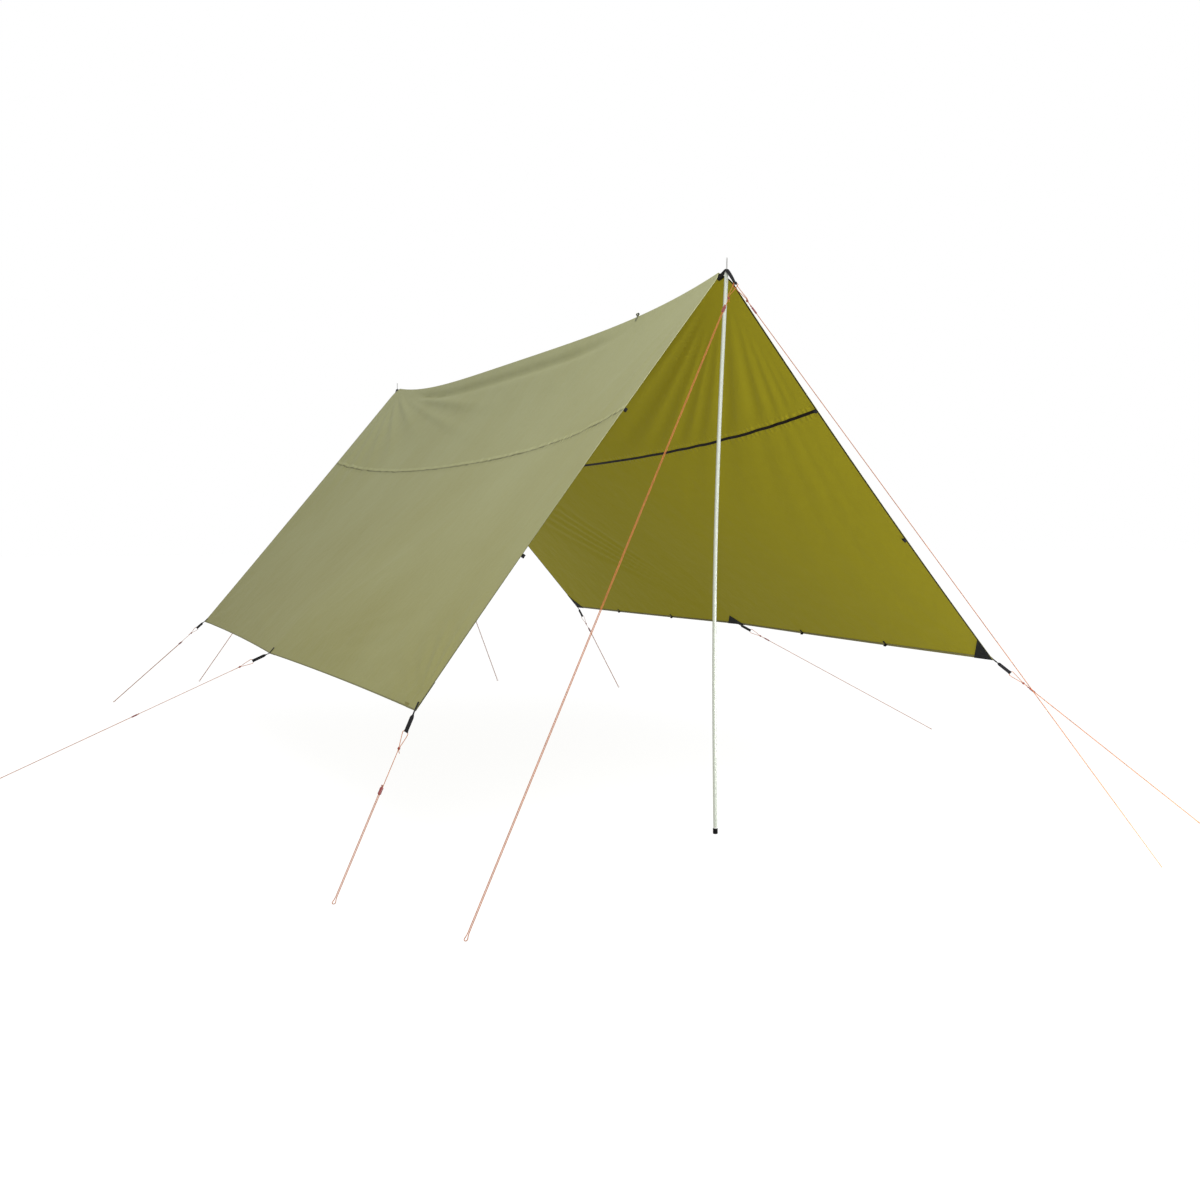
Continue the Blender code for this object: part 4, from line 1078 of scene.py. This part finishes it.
def cord_tube(name, route, radius, look, sides=14):
    """A round cord whose rings are centred on the points of its route."""
    rings, runs = [], [0.0]
    side = (route[1] - route[0]).orthogonal().normalized()
    turns = [2 * math.pi * step / sides for step in range(sides)]
    for place, spot in enumerate(route):
        before, after = route[max(place - 1, 0)], route[min(place + 1, len(route) - 1)]
        heading = (after - before).normalized()
        side = (side - heading * side.dot(heading)).normalized()
        up = heading.cross(side)
        rings.append([spot + (side * math.cos(turn) + up * math.sin(turn)) * radius
                      for turn in turns])
        if place:
            runs.append(runs[-1] + (spot - before).length)
    points, faces = skin_over(rings)
    flat = []
    for low, high in zip(runs, runs[1:]):
        for step in range(sides):
            left, right = step / sides, (step + 1) / sides
            flat += [(left, low), (right, low), (right, high), (left, high)]
    flat += [(0.5, 0.0)] * sides + [(0.5, runs[-1])] * sides
    piece = built(name, points, faces, flat, [look])
    smooth(50)
    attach(piece, "tarp")
    return piece


def wrapped_knot(name, middle, heading, reach, radius, turns, look):
    """The wraps of a knot: a tight coil round the cord."""
    side = heading.orthogonal().normalized()
    up = heading.cross(side)
    pitch = radius * 1.9
    steps = turns * 12
    route = []
    for step in range(steps + 1):
        turn = 2 * math.pi * step / 12
        ahead = heading * pitch * turns * (step / steps - 0.5)
        tuck = reach * (0.75 + 0.25 * math.sin(math.pi * step / steps))
        route.append(middle + ahead + (side * math.cos(turn) + up * math.sin(turn)) * tuck)
    return cord_tube(name, route, radius, look, 10)


def eye_side(knot, hole, ahead, out, half):
    """From the middle of the strap's loop round one side of the strap and on to the knot."""
    through = hole + ahead * 0.0006
    return smoothed([through, through + out * half * 0.5,
                     hole + ahead * 0.0014 + out * (half - 0.001),
                     hole + ahead * 0.0045 + out * (half + 0.0022),
                     hole + ahead * 0.01 + out * (half + 0.0033),
                     knot.lerp(hole, 0.45) + out * (half * 0.5 + 0.0026),
                     knot - ahead * 0.01 + out * 0.0021,
                     knot + out * 0.0014], 5)


orange_braid = braid_finish("orange braid", (0.24, 0.056, 0.008), (0.52, 0.175, 0.026))
# The knots are a darker copy of the cord's braid: painted shade for the shadow inside their tight
# wraps.
shaded_knot_braid = braid_finish("knotted braid", (0.16, 0.028, 0.018), (0.36, 0.075, 0.045))
lines = {}
for place, (start, hole, axis, half, knot_at) in ties.items():
    foot = Vector((*GROUND[place], CORD + 0.0002))
    aim = (foot - start).normalized()
    sideways = aim.cross(UP).normalized()
    ahead = (aim - axis * aim.dot(axis)).normalized()
    knot = start + aim * knot_at
    beside = sideways * STRANDS
    low = foot - aim * GROUND_LOOP
    neck = low - aim * 0.018
    stopper = start + aim * (RUNNER_AT[place] - RUNNER_LONG / 2 - 0.0048) + beside
    turn = [low + beside / 2 + (aim * math.sin(angle) - sideways * math.cos(angle)) * GROUND_LOOP
            for angle in (math.pi * step / 12 for step in range(13))]
    bight = smoothed([neck, low.lerp(neck, 0.45) - sideways * 0.0014] + turn, 3)
    away = smoothed([turn[-1], low.lerp(neck, 0.45) + beside + sideways * 0.0014,
                     neck + beside], 3)[1:]
    below = knot + aim * 0.012
    route = eye_side(knot, hole, ahead, -axis, half)
    route += [below.lerp(neck, share) for share in (0.0, 0.25, 0.5, 0.75)]
    route += bight + away + [(neck + beside).lerp(stopper, share) for share in (0.3, 0.65, 1.0)]
    line = cord_tube(f"braided_guy_line_{place}", route, CORD, orange_braid)
    tail = [knot + aim * 0.007 - sideways * 0.0025, knot + aim * 0.013 - sideways * 0.0055,
            knot + aim * 0.019 - sideways * 0.0095]
    eye = cord_tube(f"guy_line_eye_{place}", eye_side(knot, hole, ahead, axis, half) + tail,
                    CORD, orange_braid)
    wraps = wrapped_knot(f"guy_line_knot_{place}", knot, aim, 0.0034, 0.0014, 3, shaded_knot_braid)
    stop = wrapped_knot(f"guy_line_stopper_{place}", stopper, aim, 0.0018, 0.0013, 2, shaded_knot_braid)
    length = sum((b - a).length for a, b in zip(route, route[1:]))
    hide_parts(f"guy_line_{place}")
    lines[place] = (start, aim, sideways)


# Runners
# A dark red moulded plastic runner grips both strands of each guy line. It has a round
# lobe at each end, a waist between them and two bores.

LOBE = 0.0064
WAIST = 0.0052
RUNNER_THICK = 0.0066
LOBE_FROM = 0.35


def plastic_finish():
    """Glossy moulded plastic with a faint grain."""
    look = Finish("dark red plastic", 0.3)
    look.give("Coat Weight", 0.3)
    where = look.in_place()
    grain = look.cloud(where, 900.0)
    look.colour(look.cloud(where, 120.0), (0.15, 0.016, 0.014), (0.215, 0.026, 0.02))
    look.dulled(grain * 0.15 + 0.24)
    look.raised(grain, 0.0001, 0.4)
    return look


rest_hand()
bpy.ops.mesh.primitive_circle_add(vertices=64, radius=1.0, fill_type="NGON")
runner_model = bpy.context.object
rise = RUNNER_LONG / 2 - LOBE
for vertex in runner_model.data.vertices:
    across, along = vertex.co.x, vertex.co.y
    side = LOBE - (LOBE - WAIST) * (1 - min(1.0, abs(along) * 1.6)) ** 0.8
    reach = max(0.0, abs(along) - LOBE_FROM) / (1 - LOBE_FROM)
    vertex.co.x = math.copysign(rise * min(1.0, abs(along) / LOBE_FROM) + LOBE * reach, along)
    vertex.co.y = math.copysign(side * math.sqrt(max(0.0, 1 - reach ** 2)), across)
open_whole()
bpy.ops.transform.translate(value=(0.0, 0.0, -RUNNER_THICK / 2))
bpy.ops.mesh.extrude_region_move(TRANSFORM_OT_translate={"value": (0.0, 0.0, RUNNER_THICK)})
close_whole()
runner_model.data.materials.append(plastic_finish().material)
bevelled(runner_model, 0.0016, 3, 40)
for sign in (-1, 1):
    drilled(runner_model, CORD + 0.0004, 0.05, (0.0, math.pi / 2, 0.0),
            (0.0, sign * STRANDS / 2, 0.0), 24)
smooth(40)
for place, (start, aim, sideways) in lines.items():
    middle = start + aim * RUNNER_AT[place] + sideways * STRANDS / 2
    moulded = copied(runner_model, f"moulded_runner_{place}", frame_at(middle, aim, sideways),
                     f"{place}_runner")
    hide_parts(f"runner_{place}")
bpy.data.objects.remove(runner_model)


# Poles
# Two poles of drawn and satin-anodised alloy tube, 15 mm wide, in three sections that
# plug together. A grey plug with a thin spike closes the top, and a black rubber foot
# covers the lower end. The load bows each pole a little.

TUBE = 0.0075
TUBE_FROM = 0.0063
TUBE_END = 0.017
SECTION_GAP = 0.0004
SPIKE = 0.0024
SPIKE_TALL = 0.04
FOOT_TALL = 0.022
FOOT_RADIUS = 0.0094
FOOT_EDGE = 0.0035
BOW = 0.024
FOOT_INSET = 0.05


def alloy_finish():
    """Drawn tube: long fine streaks, and a polished band just above the foot."""
    look = Finish("pale alloy", 0.42, 0.25, shine=0.3)
    where = look.in_place()
    drawn = look.node("Mapping", {"Vector": where, "Scale": (900.0, 900.0, 4.0)})
    streak = look.cloud(drawn, 1.0)
    height = look.axes(where).part("Z")
    polished = (height - (FOOT_TALL + 0.002)).size().below(0.0022)
    satin = look.mix(streak, (0.43, 0.46, 0.4), (0.54, 0.57, 0.5))
    look.colour(polished, satin, (0.68, 0.69, 0.66))
    look.dulled(streak * 0.16 + 0.3 - polished * 0.15)
    look.raised(streak, 0.0001, 0.4)
    return look


def steel_finish():
    """Turned grey steel with fine rings."""
    look = Finish("grey steel", 0.35, 0.9)
    where = look.in_place()
    rings = (look.axes(where).part("Z") * 9000.0).sine() * 0.5 + 0.5
    look.colour(look.cloud(where, 200.0), (0.3, 0.3, 0.29), (0.44, 0.44, 0.43))
    look.raised(rings, 0.0001, 0.3)
    return look


def rubber_finish():
    """Black rubber with a fine grain."""
    look = Finish("black rubber", 0.75, shine=0.06)
    where = look.in_place()
    grain = look.cloud(where, 500.0)
    look.colour(grain, (0.003, 0.003, 0.003), (0.009, 0.009, 0.01))
    look.dulled(grain * 0.25 + 0.6)
    look.raised(grain, 0.0003, 0.5)
    return look


def turned(name, profile, look):
    """A turned piece: a circle, drawn out from ring to ring of its profile."""
    radius, height = profile[0]
    rest_hand()
    bpy.ops.mesh.primitive_circle_add(vertices=32, radius=radius, fill_type="NGON")
    piece = bpy.context.object
    piece.name = name
    open_whole()
    bpy.ops.transform.translate(value=(0.0, 0.0, height))
    for next_radius, next_height in profile[1:]:
        ratio = next_radius / radius
        drawn_out((0.0, 0.0, next_height - height), (ratio, ratio, 1.0))
        radius, height = next_radius, next_height
    close_whole()
    smooth(40)
    piece.data.materials.append(look.material)
    return piece


def tube_profile(low, high):
    """The outside of one section, with broken edges and rings to bend at."""
    edge = 0.0004
    wall = [(TUBE, height) for height in even(low + edge, high - edge, 12)]
    return [(TUBE - edge, low)] + wall + [(TUBE - edge, high)]


pale_alloy = alloy_finish()
grey_steel = steel_finish()
black_rubber = rubber_finish()
for end, top in tops.items():
    foot = Vector((0.0, SIGN[end] * (RIDGE / 2 - FOOT_INSET), 0.0))
    tube_high = top.z - TUBE_END
    third = (tube_high - TUBE_FROM) / 3
    pieces = []
    for number in range(3):
        low = TUBE_FROM + third * number
        wall = tube_profile(low, low + third - SECTION_GAP)
        pieces.append((f"section_{number + 1}", wall, pale_alloy, "pale_alloy"))
    tip = top.z + SPIKE_TALL
    plug = [(TUBE - 0.0005, tube_high + 0.0003), (TUBE, tube_high + 0.0008),
            (TUBE, tube_high + 0.0012), (0.005, tube_high + 0.0055),
            (SPIKE + 0.0005, tube_high + 0.0092), (SPIKE, tube_high + 0.0105)]
    plug += [(SPIKE, height) for height in even(tube_high + 0.02, tip - 0.0028, 3)]
    plug += [(SPIKE * 0.9, tip - 0.0012), (SPIKE * 0.6, tip - 0.0003), (SPIKE * 0.3, tip)]
    pieces.append(("spike", plug, grey_steel, "grey_steel"))
    rounded = [(FOOT_RADIUS - FOOT_EDGE * (1 - math.sin(angle)), FOOT_EDGE * (1 - math.cos(angle)))
               for angle in (math.pi / 2 * part / 6 for part in range(7))]
    grip = [(FOOT_RADIUS - deep, low + up) for low in (0.0085, 0.0135)
            for deep, up in ((0.0, 0.0), (0.0004, 0.0005), (0.0004, 0.0012), (0.0, 0.0017))]
    rim = [(FOOT_RADIUS, FOOT_TALL - 0.0006), (FOOT_RADIUS - 0.0006, FOOT_TALL),
           (TUBE + 0.0002, FOOT_TALL)]
    pieces.append(("foot", rounded + grip + rim, black_rubber, "black_rubber"))
    for label, profile, look, slot in pieces:
        piece = turned(f"{end}_pole_{label}", profile, look)
        for vertex in piece.data.vertices:
            share = min(1.0, vertex.co.z / top.z)
            vertex.co.x -= BOW * math.sin(math.pi * share)
            vertex.co.y += (top.y - foot.y) * vertex.co.z / top.z + foot.y
        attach(piece, f"{end}_pole")
        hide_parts(f"pole_{end}_{label}")
